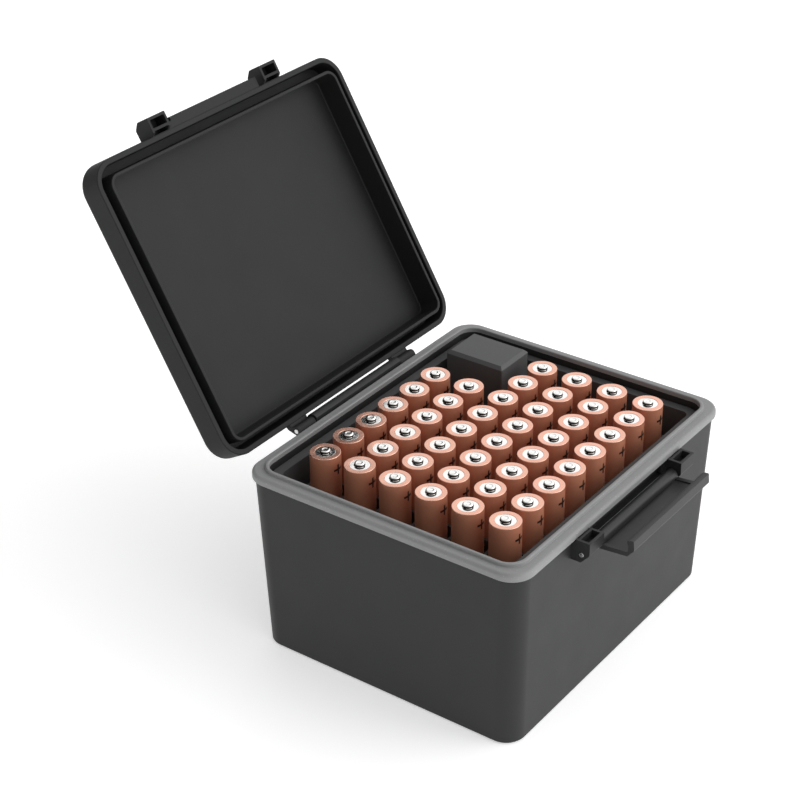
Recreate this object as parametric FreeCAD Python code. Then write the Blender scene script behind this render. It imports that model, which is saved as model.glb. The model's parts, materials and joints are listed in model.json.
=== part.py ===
import FreeCAD
import Part
import math
import os

# Battery storage case: a moulded box with a hinged lid, shown open, and a snap latch at the front.
# The origin is the centre of the underside. +X is the right side seen from the latch, +Y points to
# the hinge and +Z is up. The lid is modelled shut and then swung open about its hinge pin.
# All lengths are in millimetres, all angles in degrees.

Vector = FreeCAD.Vector
ORIGIN = Vector(0, 0, 0)
ACROSS = Vector(1, 0, 0)
UP = Vector(0, 0, 1)

# The cells, which set the size of everything round them
CELL_DIAMETER = 14.5
CELL_LENGTH = 50.5
CELL_COLUMNS = 8
CELL_ROWS = 6
BLOCK_COLUMNS = 2
BLOCK_ROWS = 2
COLUMN_GAP = 2.9
ROW_GAP = 5.05
NUB_DIAMETER = 5.0
NUB_HEIGHT = 1.2
NUB_ROUNDING = 0.5
SLEEVE_WALL = 0.3
SLEEVE_CLEARANCE = 0.02
SLEEVE_FOOT = 0.5
WASHER_THICKNESS = 0.5
WASHER_WIDTH = 2.55

# The case
BODY_HEIGHT = 96.35
CELL_PROUD = 3.65
SIDE_MARGIN = 14.8
END_MARGIN = 11.95
OPENING_RADIUS = 8.0
BODY_INSET = 1.5
BODY_RADIUS = 10.0
BODY_DRAW_IN = 3.0
BODY_WALL = 2.6
BODY_FLOOR = 2.5
FOOT_BEVEL = 1.0
BAND_HEIGHT = 8.35
RIB_THICKNESS = 2.0
RIB_SPREAD_SHARE = 0.55

# The pale seal that hooks over the case's edge
SEAL_WIDTH = 6.65
SEAL_HEIGHT = 5.5
SEAL_RADIUS = 11.5
BEAD_WIDTH = 2.0
BEAD_ROUNDING = 0.6
BEAD_RISE = 1.55
BEAD_SLOPE = 0.3
TONGUE_WIDTH = 2.8
TONGUE_DROP = 2.35
SEAL_ROUNDING = 2.8
SEAL_LIP_BEVEL = 0.4

# The lift-out tray
TRAY_CLEARANCE = 0.8
FLANGE_DROP = 5.35
FLANGE_WIDTH = 4.75
TRAY_WALL = 1.5
TRAY_RADIUS = 5.0

# The slats that part the cells. The long ones run along X, and the cross ones slot into them from above.
SLAT_DROP = 21.0
LONG_SLAT_THICKNESS = 1.6
CROSS_SLAT_THICKNESS = 1.2
SLAT_FIT = 0.1
SLAT_END_GAP = 0.3

# The bevelled block that fills the back right corner of the tray
BLOCK_WIDTH = 23.6
BLOCK_DEPTH = 32.6
BLOCK_PROUD = 1.0
BLOCK_BEVEL = 1.6
BLOCK_WALL = 1.6
BLOCK_SHIFT_X = 7.3
BLOCK_SHIFT_Y = 1.8

# The lid
LID_HEIGHT = 13.0
LID_WALL = 2.7
LID_PLATE = 2.0
LID_ROUNDING = 2.5
LID_RADIUS = 12.5
LID_SEAT_GAP = 0.3
LID_INSET_SIDE = 1.5
LID_INSET_END = 1.1
RIDGE_SIDE_GAP = 1.1
RIDGE_LATCH_GAP = 1.85
RIDGE_HINGE_GAP = 0.9
RIDGE_RADIUS = 6.0
RIDGE_WALL = 1.6
RIDGE_BELOW = 1.5
LID_OPENING_ANGLE = 120.4

# The hinge
HINGE_OUT = 2.72
HINGE_DROP = 3.05
CASE_BARREL_RADIUS = 3.4
BARREL_RADIUS = 2.4
PIN_DIAMETER = 2.5
PIN_FIT = 0.05
PIN_RUN = 0.09
HINGE_HALF_SPAN = 46.3
KNUCKLE_LENGTH = 12.3
KNUCKLE_GAP = 0.4
HINGE_WEB_DEPTH = 8.0
HINGE_WEB_GAP = 0.3
LUG_DEPTH = 3.6
STOP_GAP = 0.3
ARM_RISE = 4.4
ARM_SHOULDER = 3.4

# The latch brackets on the case, the towers above them on the lid, and the catch bar between these
BRACKET_INNER = 34.0
BRACKET_WIDTH = 12.0
BRACKET_REACH = 9.1
BRACKET_RISE = 1.05
BRACKET_SEAL_GAP = 0.3
BRACKET_HEIGHT = 10.9
BRACKET_CHAMFER_OUT = 4.2
BRACKET_CHAMFER_UP = 4.8
CORE_WALL = 1.4
CORE_PARTITION = 1.4
CORE_OUTER_DEPTH = 4.0
CORE_REAR_DEPTH = 1.6
BRACKET_CORE = 3.9
RECESS_DROP = 0.85
RECESS_HEIGHT = 6.5
RECESS_DEPTH = 2.6
RECESS_END_GAP = 1.0
TOWER_GAP = 1.5
TOWER_HEIGHT = 10.4
TOWER_CHAMFER = 3.2
TOWER_CORE_DEPTH = 7.0
TOWER_REAR_DEPTH = 1.8
CATCH_REACH = 5.0
CATCH_HEIGHT = 5.2
CATCH_END_GAP = 3.0
CATCH_STEP = 1.8
CATCH_POCKET_FIT = 0.4

# The latch, drawn upright against the lid and then tipped out
PIVOT_BELOW_TOP = 7.0
LATCH_BARREL_RADIUS = 3.1
LATCH_END_GAP = 0.4
LATCH_PLATE = 1.6
LATCH_PLATE_CLEAR = 0.6
HOOK_CLEAR = 0.3
HOOK_THICKNESS = 3.4
HOOK_CHAMFER = 3.6
HOOK_LIP = 1.8
HOOK_BITE = 1.15
HOOK_UNDERCUT = 0.5
CHEEK_WIDTH = 2.2
CHEEK_DEPTH = 2.2
LATCH_TIP_ANGLE = 85.0

# Small amounts that only help one solid to cut or to join another
OVERRUN = 2.0
BITE = 1.3

# Heights and half sizes that follow from the values above
column_pitch = CELL_DIAMETER + COLUMN_GAP
row_pitch = CELL_DIAMETER + ROW_GAP
cell_radius = CELL_DIAMETER / 2
cell_top = BODY_HEIGHT + CELL_PROUD
cell_bottom = cell_top + NUB_HEIGHT - CELL_LENGTH
opening_x = (CELL_COLUMNS - 1) * column_pitch / 2 + cell_radius + SIDE_MARGIN
opening_y = (CELL_ROWS - 1) * row_pitch / 2 + cell_radius + END_MARGIN
seal_x = opening_x + SEAL_WIDTH
seal_y = opening_y + SEAL_WIDTH
seal_bottom = BODY_HEIGHT - SEAL_HEIGHT
shelf_top = BODY_HEIGHT - BEAD_RISE
tongue_top = BODY_HEIGHT - TONGUE_DROP
body_x = seal_x - BODY_INSET
body_y = seal_y - BODY_INSET
wall_slope_share = BODY_DRAW_IN / seal_bottom
band_bottom = BODY_HEIGHT - BAND_HEIGHT
flange_top = BODY_HEIGHT - FLANGE_DROP
flange_bottom = flange_top - TRAY_WALL
flange_x = opening_x - TRAY_CLEARANCE
flange_y = opening_y - TRAY_CLEARANCE
bowl_x = flange_x - FLANGE_WIDTH
bowl_y = flange_y - FLANGE_WIDTH
slat_top = cell_top - SLAT_DROP
lid_x = seal_x - LID_INSET_SIDE
lid_y = seal_y - LID_INSET_END
lid_plane = shelf_top + LID_SEAT_GAP
lid_top = lid_plane + LID_HEIGHT
panel = lid_top - LID_PLATE
hinge_y = seal_y + HINGE_OUT
hinge_z = BODY_HEIGHT - HINGE_DROP
bracket_top = seal_bottom + BRACKET_RISE
bracket_front = -body_y - BRACKET_REACH
tower_bottom = bracket_top + TOWER_GAP
pivot_y = bracket_front + BRACKET_CHAMFER_OUT
pivot_z = bracket_top - PIVOT_BELOW_TOP


def moved(shape, x, y, z):
    """Returns a copy of a shape, shifted."""
    copy = shape.copy()
    copy.translate(Vector(x, y, z))
    return copy


def turned(shape, centre, degrees):
    """Returns a copy of a shape, turned about a line along X."""
    copy = shape.copy()
    copy.rotate(centre, ACROSS, degrees)
    return copy


def rounded_wire(half_x, half_y, radius, z):
    """Outlines a rectangle with round corners at one height."""
    cx = half_x - radius
    cy = half_y - radius
    diagonal = radius * math.sqrt(2) / 2
    edges = []
    for sx, sy in ((1, 1), (-1, 1), (-1, -1), (1, -1)):
        on_side = Vector(sx * half_x, sy * cy, z)
        on_corner = Vector(sx * (cx + diagonal), sy * (cy + diagonal), z)
        on_end = Vector(sx * cx, sy * half_y, z)
        points = (on_side, on_corner, on_end) if sx * sy > 0 else (on_end, on_corner, on_side)
        edges.append(Part.Arc(*points).toShape())
    outline = []
    for index, arc in enumerate(edges):
        following = edges[(index + 1) % len(edges)]
        outline.append(arc)
        outline.append(Part.LineSegment(arc.Vertexes[-1].Point, following.Vertexes[0].Point).toShape())
    return Part.Wire(outline)


def rounded_block(half_x, half_y, radius, low, high):
    """A straight-sided block on a rounded rectangle."""
    face = Part.Face(rounded_wire(half_x, half_y, radius, low))
    return face.extrude(Vector(0, 0, high - low))


def tapered_block(sections):
    """A block through rounded rectangles given as (half x, half y, radius, height)."""
    return Part.makeLoft([rounded_wire(*section) for section in sections], True, True)


def box(x_low, x_high, y_low, y_high, z_low, z_high):
    """A plain box between two corners."""
    return Part.makeBox(x_high - x_low, y_high - y_low, z_high - z_low, Vector(x_low, y_low, z_low))


def prism(points, x_low, x_high):
    """Extrudes a polygon of (y, z) points along X."""
    corners = [Vector(x_low, y, z) for y, z in points]
    wire = Part.makePolygon(corners + corners[:1])
    return Part.Face(wire).extrude(Vector(x_high - x_low, 0, 0))


def rod(radius, x_low, x_high, y, z):
    """A cylinder along X."""
    return Part.makeCylinder(radius, x_high - x_low, Vector(x_low, y, z), ACROSS)


def around(points):
    """Carries a straight-sided section of (outward, height) points round the case's opening."""
    pieces = []
    for quarter in range(4):
        across, along = (opening_x, opening_y) if quarter % 2 == 0 else (opening_y, opening_x)
        straight = along - OPENING_RADIUS
        corners = [Vector(across + outward, straight, height) for outward, height in points]
        face = Part.Face(Part.makePolygon(corners + corners[:1]))
        side = face.extrude(Vector(0, -2 * straight, 0))
        corner = face.revolve(Vector(across - OPENING_RADIUS, straight, 0), UP, 90)
        for piece in (side, corner):
            piece.rotate(ORIGIN, UP, 90 * quarter)
            pieces.append(piece)
    return pieces[0].multiFuse(pieces[1:]).removeSplitter()


def ring(half_x, half_y, radius, width, low, high):
    """A straight-sided ring, from its outer half sizes inwards."""
    inner = rounded_block(half_x - width, half_y - width, radius - width, low - OVERRUN, high + OVERRUN)
    return rounded_block(half_x, half_y, radius, low, high).cut(inner)


def wall_at(height):
    """How far the case's outside has drawn in at a height, below its top."""
    return (seal_bottom - height) * wall_slope_share


def tongue(low, high):
    """The upright edge of the case that the seal hooks over."""
    return around([(0, low), (TONGUE_WIDTH, low), (TONGUE_WIDTH, high), (0, high)])


def case_body():
    """The moulded box: wall, floor, stiff top band, tray ribs, hinge barrel and latch brackets."""
    foot = wall_at(FOOT_BEVEL)
    base = wall_at(0) + FOOT_BEVEL
    outside = tapered_block([
        (body_x - base, body_y - base, BODY_RADIUS - FOOT_BEVEL, 0),
        (body_x - foot, body_y - foot, BODY_RADIUS, FOOT_BEVEL),
        (body_x, body_y, BODY_RADIUS, seal_bottom),
    ])
    shoulder = band_bottom - (body_x - BODY_WALL - opening_x)
    low = wall_at(BODY_FLOOR) + BODY_WALL
    high = wall_at(shoulder) + BODY_WALL
    hollow = tapered_block([
        (body_x - low, body_y - low, BODY_RADIUS - BODY_WALL, BODY_FLOOR),
        (body_x - high, body_y - high, BODY_RADIUS - BODY_WALL, shoulder),
        (opening_x, opening_y, OPENING_RADIUS, band_bottom),
    ])
    mouth = rounded_block(opening_x, opening_y, OPENING_RADIUS, band_bottom, BODY_HEIGHT)
    shape = outside.cut([hollow, mouth]).fuse(tongue(seal_bottom - BITE, tongue_top))
    for piece in tray_ribs() + [hinge_barrel(), recess_wall()] + latch_brackets():
        shape = shape.fuse(piece)
    return shape.cut(latch_recess()).removeSplitter()


def tray_ribs():
    """Upright ribs on the inside walls, whose tops carry the tray's flange."""
    ribs = []
    reach_x = bowl_x + TRAY_WALL + TRAY_CLEARANCE
    reach_y = bowl_y + TRAY_WALL + TRAY_CLEARANCE
    embed = BODY_WALL / 2
    half = RIB_THICKNESS / 2
    for side in (1, -1):
        for other in (1, -1):
            y = other * opening_y * RIB_SPREAD_SHARE
            x = other * opening_x * RIB_SPREAD_SHARE
            outer_x = body_x - wall_at(BODY_FLOOR) - embed
            outer_y = body_y - wall_at(BODY_FLOOR) - embed
            upright = box(reach_x, outer_x, y - half, y + half, BODY_FLOOR - embed, flange_bottom)
            ribs.append(upright if side > 0 else upright.mirror(ORIGIN, ACROSS))
            upright = box(x - half, x + half, reach_y, outer_y, BODY_FLOOR - embed, flange_bottom)
            ribs.append(upright if side > 0 else upright.mirror(ORIGIN, Vector(0, 1, 0)))
    return ribs


def hinge_barrel():
    """The case's half of the hinge: one long barrel on a sloping web, bored for the pin."""
    half = HINGE_HALF_SPAN - KNUCKLE_LENGTH - KNUCKLE_GAP / 2
    inside = body_y - BITE
    web_top = seal_bottom - HINGE_WEB_GAP
    seal_side = seal_y + STOP_GAP
    web = prism([
        (inside, web_top - HINGE_WEB_DEPTH),
        (hinge_y + CASE_BARREL_RADIUS, hinge_z),
        (hinge_y, hinge_z),
        (seal_side, web_top),
        (inside, web_top),
    ], -half, half)
    barrel = rod(CASE_BARREL_RADIUS, -half, half, hinge_y, hinge_z)
    high = hinge_z + CASE_BARREL_RADIUS + OVERRUN
    beside = box(-half - OVERRUN, half + OVERRUN, inside, seal_side, web_top, high)
    bore = rod(PIN_DIAMETER / 2 + PIN_FIT, -half - OVERRUN, half + OVERRUN, hinge_y, hinge_z)
    return web.fuse(barrel).cut([beside, bore])


def cored(block, start, low, high, rear_depth):
    """Cuts the two upright cells that lighten a bracket or a tower, between two heights."""
    end = start + BRACKET_WIDTH - CORE_WALL
    front = bracket_front + CORE_WALL
    partition = front + CORE_OUTER_DEPTH
    rear = partition + CORE_PARTITION
    cells = [(front, partition), (rear, rear + rear_depth)]
    return block.cut([box(start + CORE_WALL, end, near, far, low, high) for near, far in cells])


def bracket_starts():
    """Where the left and the right bracket begin along X."""
    return (-BRACKET_INNER - BRACKET_WIDTH, BRACKET_INNER)


def latch_brackets():
    """Two cored brackets on the front that carry the latch pin."""
    low = bracket_top - BRACKET_HEIGHT
    inside = wall_at(low) + BITE - body_y
    seal_front = -seal_y - BRACKET_SEAL_GAP
    brackets = []
    for start in bracket_starts():
        end = start + BRACKET_WIDTH
        block = prism([
            (inside, seal_bottom),
            (seal_front, seal_bottom),
            (seal_front, bracket_top),
            (bracket_front, bracket_top),
            (bracket_front, low + BRACKET_CHAMFER_UP),
            (bracket_front + BRACKET_CHAMFER_OUT, low),
            (inside, low),
        ], start, end)
        bore = rod(PIN_DIAMETER / 2 + PIN_FIT, start - OVERRUN, end + OVERRUN, pivot_y, pivot_z)
        floor = bracket_top - BRACKET_CORE
        brackets.append(cored(block, start, floor, bracket_top + OVERRUN, CORE_REAR_DEPTH).cut(bore))
    return brackets


def latch_recess():
    """The recess in the front wall behind the latch's barrel."""
    end = BRACKET_INNER - RECESS_END_GAP
    high = seal_bottom - RECESS_DROP
    return box(-end, end, -body_y - OVERRUN, RECESS_DEPTH - body_y, high - RECESS_HEIGHT, high)


def recess_wall():
    """The thicker wall inside the case, behind the recess."""
    end = BRACKET_INNER - RECESS_END_GAP + BODY_WALL
    low = seal_bottom - RECESS_DROP - RECESS_HEIGHT - BODY_WALL
    return box(-end, end, BODY_WALL / 2 + wall_at(low) - body_y, -opening_y, low, band_bottom)


def rim_seal():
    """The pale seal ring: a raised bead inside, a flat for the lid's edge and a round outer leg."""
    leg = rounded_block(seal_x, seal_y, SEAL_RADIUS, seal_bottom, shelf_top)
    top = [edge for edge in leg.Edges if edge.BoundBox.ZMin > shelf_top - SEAL_LIP_BEVEL]
    leg = leg.makeFillet(SEAL_ROUNDING, top)
    foot = [edge for edge in leg.Edges if edge.BoundBox.ZMax < seal_bottom + SEAL_LIP_BEVEL]
    leg = leg.makeChamfer(SEAL_LIP_BEVEL, foot)
    mouth = rounded_block(opening_x, opening_y, OPENING_RADIUS, seal_bottom - OVERRUN, BODY_HEIGHT)
    bead = around([
        (0, tongue_top),
        (BEAD_WIDTH, tongue_top),
        (BEAD_WIDTH, shelf_top),
        (BEAD_WIDTH - BEAD_SLOPE, BODY_HEIGHT - BEAD_ROUNDING),
        (BEAD_WIDTH - BEAD_SLOPE - BEAD_ROUNDING, BODY_HEIGHT),
        (BEAD_ROUNDING, BODY_HEIGHT),
        (0, BODY_HEIGHT - BEAD_ROUNDING),
    ])
    shape = leg.cut([mouth, tongue(seal_bottom - OVERRUN, tongue_top)])
    return shape.fuse(bead).removeSplitter()


def cell_places(row):
    """The x positions of the cells in one row, counted from the latch side."""
    blocked = BLOCK_COLUMNS if row >= CELL_ROWS - BLOCK_ROWS else 0
    return [(column - (CELL_COLUMNS - 1) / 2) * column_pitch for column in range(CELL_COLUMNS - blocked)]


def row_place(row):
    """The y position of a row of cells."""
    return (row - (CELL_ROWS - 1) / 2) * row_pitch


def cell_can():
    """A steel can with its raised positive nub, standing on the tray's floor."""
    radius = cell_radius - SLEEVE_WALL
    shoulder = cell_top - WASHER_THICKNESS
    can = Part.makeCylinder(radius, shoulder - cell_bottom, Vector(0, 0, cell_bottom))
    nub = Part.makeCylinder(NUB_DIAMETER / 2, cell_top + NUB_HEIGHT - shoulder, Vector(0, 0, shoulder))
    rims = [edge for edge in nub.Edges if edge.BoundBox.ZMin > cell_top and len(edge.Vertexes) == 1]
    return can.fuse(nub.makeFillet(NUB_ROUNDING, rims)).removeSplitter()


def tube(outer, inner, low, high):
    """An upright tube."""
    solid = Part.makeCylinder(outer, high - low, Vector(0, 0, low))
    return solid.cut(Part.makeCylinder(inner, high - low + 2 * OVERRUN, Vector(0, 0, low - OVERRUN)))


def cell_sleeve():
    """The printed sleeve round a can."""
    inner = cell_radius - SLEEVE_WALL + SLEEVE_CLEARANCE
    return tube(cell_radius, inner, cell_bottom + SLEEVE_FOOT, cell_top - WASHER_THICKNESS)


def cell_washer():
    """The insulating washer on the can's positive end."""
    return tube(cell_radius, cell_radius - WASHER_WIDTH, cell_top - WASHER_THICKNESS, cell_top)


def block_place():
    """The centre of the corner block, from the middle of the cells that it replaces."""
    x = ((CELL_COLUMNS - 1) / 2 - (BLOCK_COLUMNS - 1) / 2) * column_pitch + BLOCK_SHIFT_X
    y = ((CELL_ROWS - 1) / 2 - (BLOCK_ROWS - 1) / 2) * row_pitch + BLOCK_SHIFT_Y
    return x, y


def upright_box(x, y, width, depth, low, high):
    """A box centred on a place."""
    return box(x - width / 2, x + width / 2, y - depth / 2, y + depth / 2, low, high)


def corner_block():
    """A moulded block with a bevelled top, hollow from below, that stands on the tray's floor."""
    x, y = block_place()
    top = cell_top + BLOCK_PROUD
    shape = upright_box(x, y, BLOCK_WIDTH, BLOCK_DEPTH, cell_bottom, top)
    rims = [edge for edge in shape.Edges if edge.BoundBox.ZMin > top - BLOCK_BEVEL]
    shape = shape.makeChamfer(BLOCK_BEVEL, rims)
    inner_width = BLOCK_WIDTH - 2 * BLOCK_WALL
    inner_depth = BLOCK_DEPTH - 2 * BLOCK_WALL
    inside_top = top - BLOCK_BEVEL - BLOCK_WALL
    return shape.cut(upright_box(x, y, inner_width, inner_depth, cell_bottom - OVERRUN, inside_top))


def cell_tray():
    """The lift-out tray: a flange that lies on the case's ribs and a deep bowl that the cells stand in."""
    wall_x = bowl_x + TRAY_WALL
    wall_y = bowl_y + TRAY_WALL
    flange = rounded_block(flange_x, flange_y, OPENING_RADIUS, flange_bottom, flange_top)
    walls = rounded_block(wall_x, wall_y, TRAY_RADIUS, cell_bottom - TRAY_WALL, flange_top)
    bowl = rounded_block(bowl_x, bowl_y, TRAY_RADIUS - TRAY_WALL, cell_bottom, flange_top + OVERRUN)
    return flange.fuse(walls).cut(bowl).removeSplitter()


def long_slats():
    """Where the long slats lie, one along each side of every row, as (y, x where it ends)."""
    block_side = block_place()[0] - BLOCK_WIDTH / 2
    places = []
    for line in range(CELL_ROWS + 1):
        stop = block_side if line > CELL_ROWS - BLOCK_ROWS else bowl_x
        places.append(((line - CELL_ROWS / 2) * row_pitch, stop - SLAT_END_GAP))
    return places


def cross_slats():
    """Where the cross slats lie, one along each side of every column, as (x, y where it ends)."""
    block_front = block_place()[1] - BLOCK_DEPTH / 2
    places = []
    for line in range(CELL_COLUMNS + 1):
        stop = block_front if line > CELL_COLUMNS - BLOCK_COLUMNS else bowl_y
        places.append(((line - CELL_COLUMNS / 2) * column_pitch, stop - SLAT_END_GAP))
    return places


def long_slat(y, end):
    """One long slat, with slots from above for the cross slats."""
    half = LONG_SLAT_THICKNESS / 2
    slot = CROSS_SLAT_THICKNESS / 2 + SLAT_FIT
    slot_bottom = (cell_bottom + slat_top) / 2 - SLAT_FIT
    shape = box(SLAT_END_GAP - bowl_x, end, y - half, y + half, cell_bottom, slat_top)
    near = y - half - OVERRUN
    far = y + half + OVERRUN
    crossings = [x for x, reach in cross_slats() if x < end and y < reach]
    return shape.cut([box(x - slot, x + slot, near, far, slot_bottom, slat_top + OVERRUN) for x in crossings])


def cross_slat(x, end):
    """One cross slat, with slots from below for the long slats."""
    half = CROSS_SLAT_THICKNESS / 2
    slot = LONG_SLAT_THICKNESS / 2 + SLAT_FIT
    slot_top = (cell_bottom + slat_top) / 2 + SLAT_FIT
    shape = box(x - half, x + half, SLAT_END_GAP - bowl_y, end, cell_bottom, slat_top)
    left = x - half - OVERRUN
    right = x + half + OVERRUN
    crossings = [y for y, reach in long_slats() if y < end and x < reach]
    return shape.cut([box(left, right, y - slot, y + slot, cell_bottom - OVERRUN, slot_top) for y in crossings])


def lid_shell():
    """The lid, shut: a plate with an outer skirt and a ridge inside it, latch towers and hinge arms."""
    shape = rounded_block(lid_x, lid_y, LID_RADIUS, lid_plane, lid_top)
    rims = [edge for edge in shape.Edges if edge.BoundBox.ZMin > lid_top - LID_ROUNDING]
    shape = shape.makeFillet(LID_ROUNDING, rims)
    inside = rounded_block(lid_x - LID_WALL, lid_y - LID_WALL, LID_RADIUS - LID_WALL, lid_plane, panel)
    shape = shape.cut(inside)
    for piece in [lid_ridge()] + latch_towers() + catch_bar() + hinge_arms():
        shape = shape.fuse(piece)
    return shape.cut(catch_pocket()).removeSplitter()


def lid_ridge():
    """The ridge inside the lid's skirt, which drops into the case's opening when the lid is shut."""
    half_x = opening_x - RIDGE_SIDE_GAP
    half_y = opening_y - (RIDGE_LATCH_GAP + RIDGE_HINGE_GAP) / 2
    middle = (RIDGE_LATCH_GAP - RIDGE_HINGE_GAP) / 2
    shape = ring(half_x, half_y, RIDGE_RADIUS, RIDGE_WALL, lid_plane - RIDGE_BELOW, panel + BITE)
    return moved(shape, 0, middle, 0)


def latch_towers():
    """Two cored towers on the lid's front, one above each bracket."""
    high = tower_bottom + TOWER_HEIGHT
    inside = BITE - lid_y
    towers = []
    for start in bracket_starts():
        block = prism([
            (inside, lid_plane),
            (-lid_y, lid_plane),
            (-seal_y - BRACKET_SEAL_GAP, tower_bottom),
            (bracket_front, tower_bottom),
            (bracket_front, high - TOWER_CHAMFER),
            (bracket_front + TOWER_CHAMFER, high),
            (inside, high),
        ], start, start + BRACKET_WIDTH)
        ceiling = tower_bottom + TOWER_CORE_DEPTH
        towers.append(cored(block, start, tower_bottom - OVERRUN, ceiling, TOWER_REAR_DEPTH))
    return towers


def catch_bar():
    """The bar that the latch hooks over, and a lower step that joins it to the left tower."""
    end = BRACKET_INNER - CATCH_END_GAP
    front = -lid_y - CATCH_REACH
    inside = BITE - lid_y
    top = lid_plane + CATCH_HEIGHT
    bar = box(-end, end, front, inside, lid_plane, top)
    step = box(-BRACKET_INNER - BITE, -end, front + CATCH_STEP, inside, lid_plane, top)
    return [bar, step]


def catch_pocket():
    """The shallow pocket in the lid's front, above the bar, that the hook's tip enters."""
    half = BRACKET_INNER - LATCH_END_GAP / 2
    top = lid_plane + CATCH_HEIGHT
    depth = HOOK_BITE + CATCH_POCKET_FIT
    high = top + HOOK_CLEAR + HOOK_THICKNESS + CATCH_POCKET_FIT
    return box(-half, half, -lid_y - OVERRUN, depth - lid_y, top, high)


def hinge_arms():
    """The lid's two knuckles, each with an arm to the lid and a lug that stops the lid when open."""
    inside = lid_y - BITE
    arm = [
        (inside, lid_plane),
        (hinge_y - BARREL_RADIUS / 2, lid_plane),
        (hinge_y, hinge_z),
        (hinge_y + BARREL_RADIUS, hinge_z),
        (hinge_y - ARM_SHOULDER / 2, hinge_z + ARM_RISE),
        (inside, hinge_z + ARM_RISE + BITE),
    ]
    face = body_y + STOP_GAP
    lug_top = seal_bottom - STOP_GAP
    lug = [
        (face, lug_top),
        (face, lug_top - LUG_DEPTH),
        (hinge_y, hinge_z - BARREL_RADIUS),
        (hinge_y + BARREL_RADIUS / 2, hinge_z),
        (hinge_y - BARREL_RADIUS / 2, hinge_z - BARREL_RADIUS / 2),
        (hinge_y - BARREL_RADIUS / 2 - STOP_GAP, lug_top),
    ]
    axis = Vector(0, hinge_y, hinge_z)
    arms = []
    for start in (-HINGE_HALF_SPAN, HINGE_HALF_SPAN - KNUCKLE_LENGTH):
        low = start if start < 0 else start + KNUCKLE_GAP / 2
        high = low + KNUCKLE_LENGTH - KNUCKLE_GAP / 2
        barrel = rod(BARREL_RADIUS, low, high, hinge_y, hinge_z)
        stop = turned(prism(lug, low, high), axis, LID_OPENING_ANGLE)
        bore = rod(PIN_DIAMETER / 2 + PIN_RUN, low - OVERRUN, high + OVERRUN, hinge_y, hinge_z)
        arms.append(prism(arm, low, high).fuse([barrel, stop]).cut(bore))
    return arms


def latch_flap():
    """The latch: a barrel, a plate with end cheeks and a hooked lip, drawn shut and then tipped out."""
    half = BRACKET_INNER - LATCH_END_GAP
    catch_front = -lid_y - CATCH_REACH
    catch_top = lid_plane + CATCH_HEIGHT
    plate_inner = catch_front - LATCH_PLATE_CLEAR
    plate_outer = plate_inner - LATCH_PLATE
    hook_low = catch_top + HOOK_CLEAR
    hook_top = hook_low + HOOK_THICKNESS
    hook_in = HOOK_BITE - lid_y
    profile = [
        (plate_outer, pivot_z),
        (plate_outer, hook_top - HOOK_CHAMFER),
        (plate_outer + HOOK_CHAMFER, hook_top),
        (hook_in, hook_top),
        (hook_in, hook_top - HOOK_LIP),
        (hook_in - HOOK_UNDERCUT, hook_low),
        ((plate_inner + hook_in) / 2, hook_low + HOOK_UNDERCUT),
        (plate_inner, hook_low),
        (plate_inner, pivot_z),
    ]
    cheek = [
        (plate_outer, pivot_z),
        (plate_outer, hook_low),
        (plate_outer + CHEEK_DEPTH, hook_low + HOOK_UNDERCUT),
        (plate_outer + CHEEK_DEPTH, pivot_z),
    ]
    shape = prism(profile, -half, half)
    barrel = rod(LATCH_BARREL_RADIUS, -half, half, pivot_y, pivot_z)
    cheeks = [prism(cheek, -half, CHEEK_WIDTH - half), prism(cheek, half - CHEEK_WIDTH, half)]
    bore = rod(PIN_DIAMETER / 2 + PIN_RUN, -half - OVERRUN, half + OVERRUN, pivot_y, pivot_z)
    shape = shape.fuse([barrel] + cheeks).cut(bore).removeSplitter()
    return turned(shape, Vector(0, pivot_y, pivot_z), LATCH_TIP_ANGLE)


def pin(half, y, z):
    """A plain steel pin along X."""
    return rod(PIN_DIAMETER / 2, -half, half, y, z)


def save(name, shape):
    """Writes one node and says what it holds."""
    shape.exportStep("parts/" + name + ".step")
    count = len(shape.Solids)
    print(name, count, "solids", round(shape.Volume / 1000, 2), "cm3", "valid", shape.isValid())


def main():
    """Builds every node in its place, with the lid open and the latch tipped out."""
    os.makedirs("parts", exist_ok=True)
    hinge = Vector(0, hinge_y, hinge_z)
    save("case_body", case_body())
    save("rim_seal", rim_seal())
    save("lid_shell", turned(lid_shell(), hinge, -LID_OPENING_ANGLE))
    save("hinge_pin", pin(HINGE_HALF_SPAN, hinge_y, hinge_z))
    save("latch_flap", latch_flap())
    save("latch_pin", pin(BRACKET_INNER + BRACKET_WIDTH, pivot_y, pivot_z))
    save("cell_tray", cell_tray())
    save("corner_block", corner_block())
    for number, (y, end) in enumerate(long_slats()):
        save("long_slat_" + str(number + 1), long_slat(y, end))
    for number, (x, end) in enumerate(cross_slats()):
        save("cross_slat_" + str(number + 1), cross_slat(x, end))
    pieces = {"can": cell_can(), "sleeve": cell_sleeve(), "washer": cell_washer()}
    for row in range(CELL_ROWS):
        for kind, piece in pieces.items():
            copies = [moved(piece, x, row_place(row), 0) for x in cell_places(row)]
            save("row_" + str(row + 1) + "_" + kind + "s", Part.makeCompound(copies))


main()
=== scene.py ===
import json
import logging
import math
from collections.abc import Iterable, Sequence
from dataclasses import dataclass, field, replace
from enum import Enum

import bmesh
import bpy
from mathutils import Matrix, Vector


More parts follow.
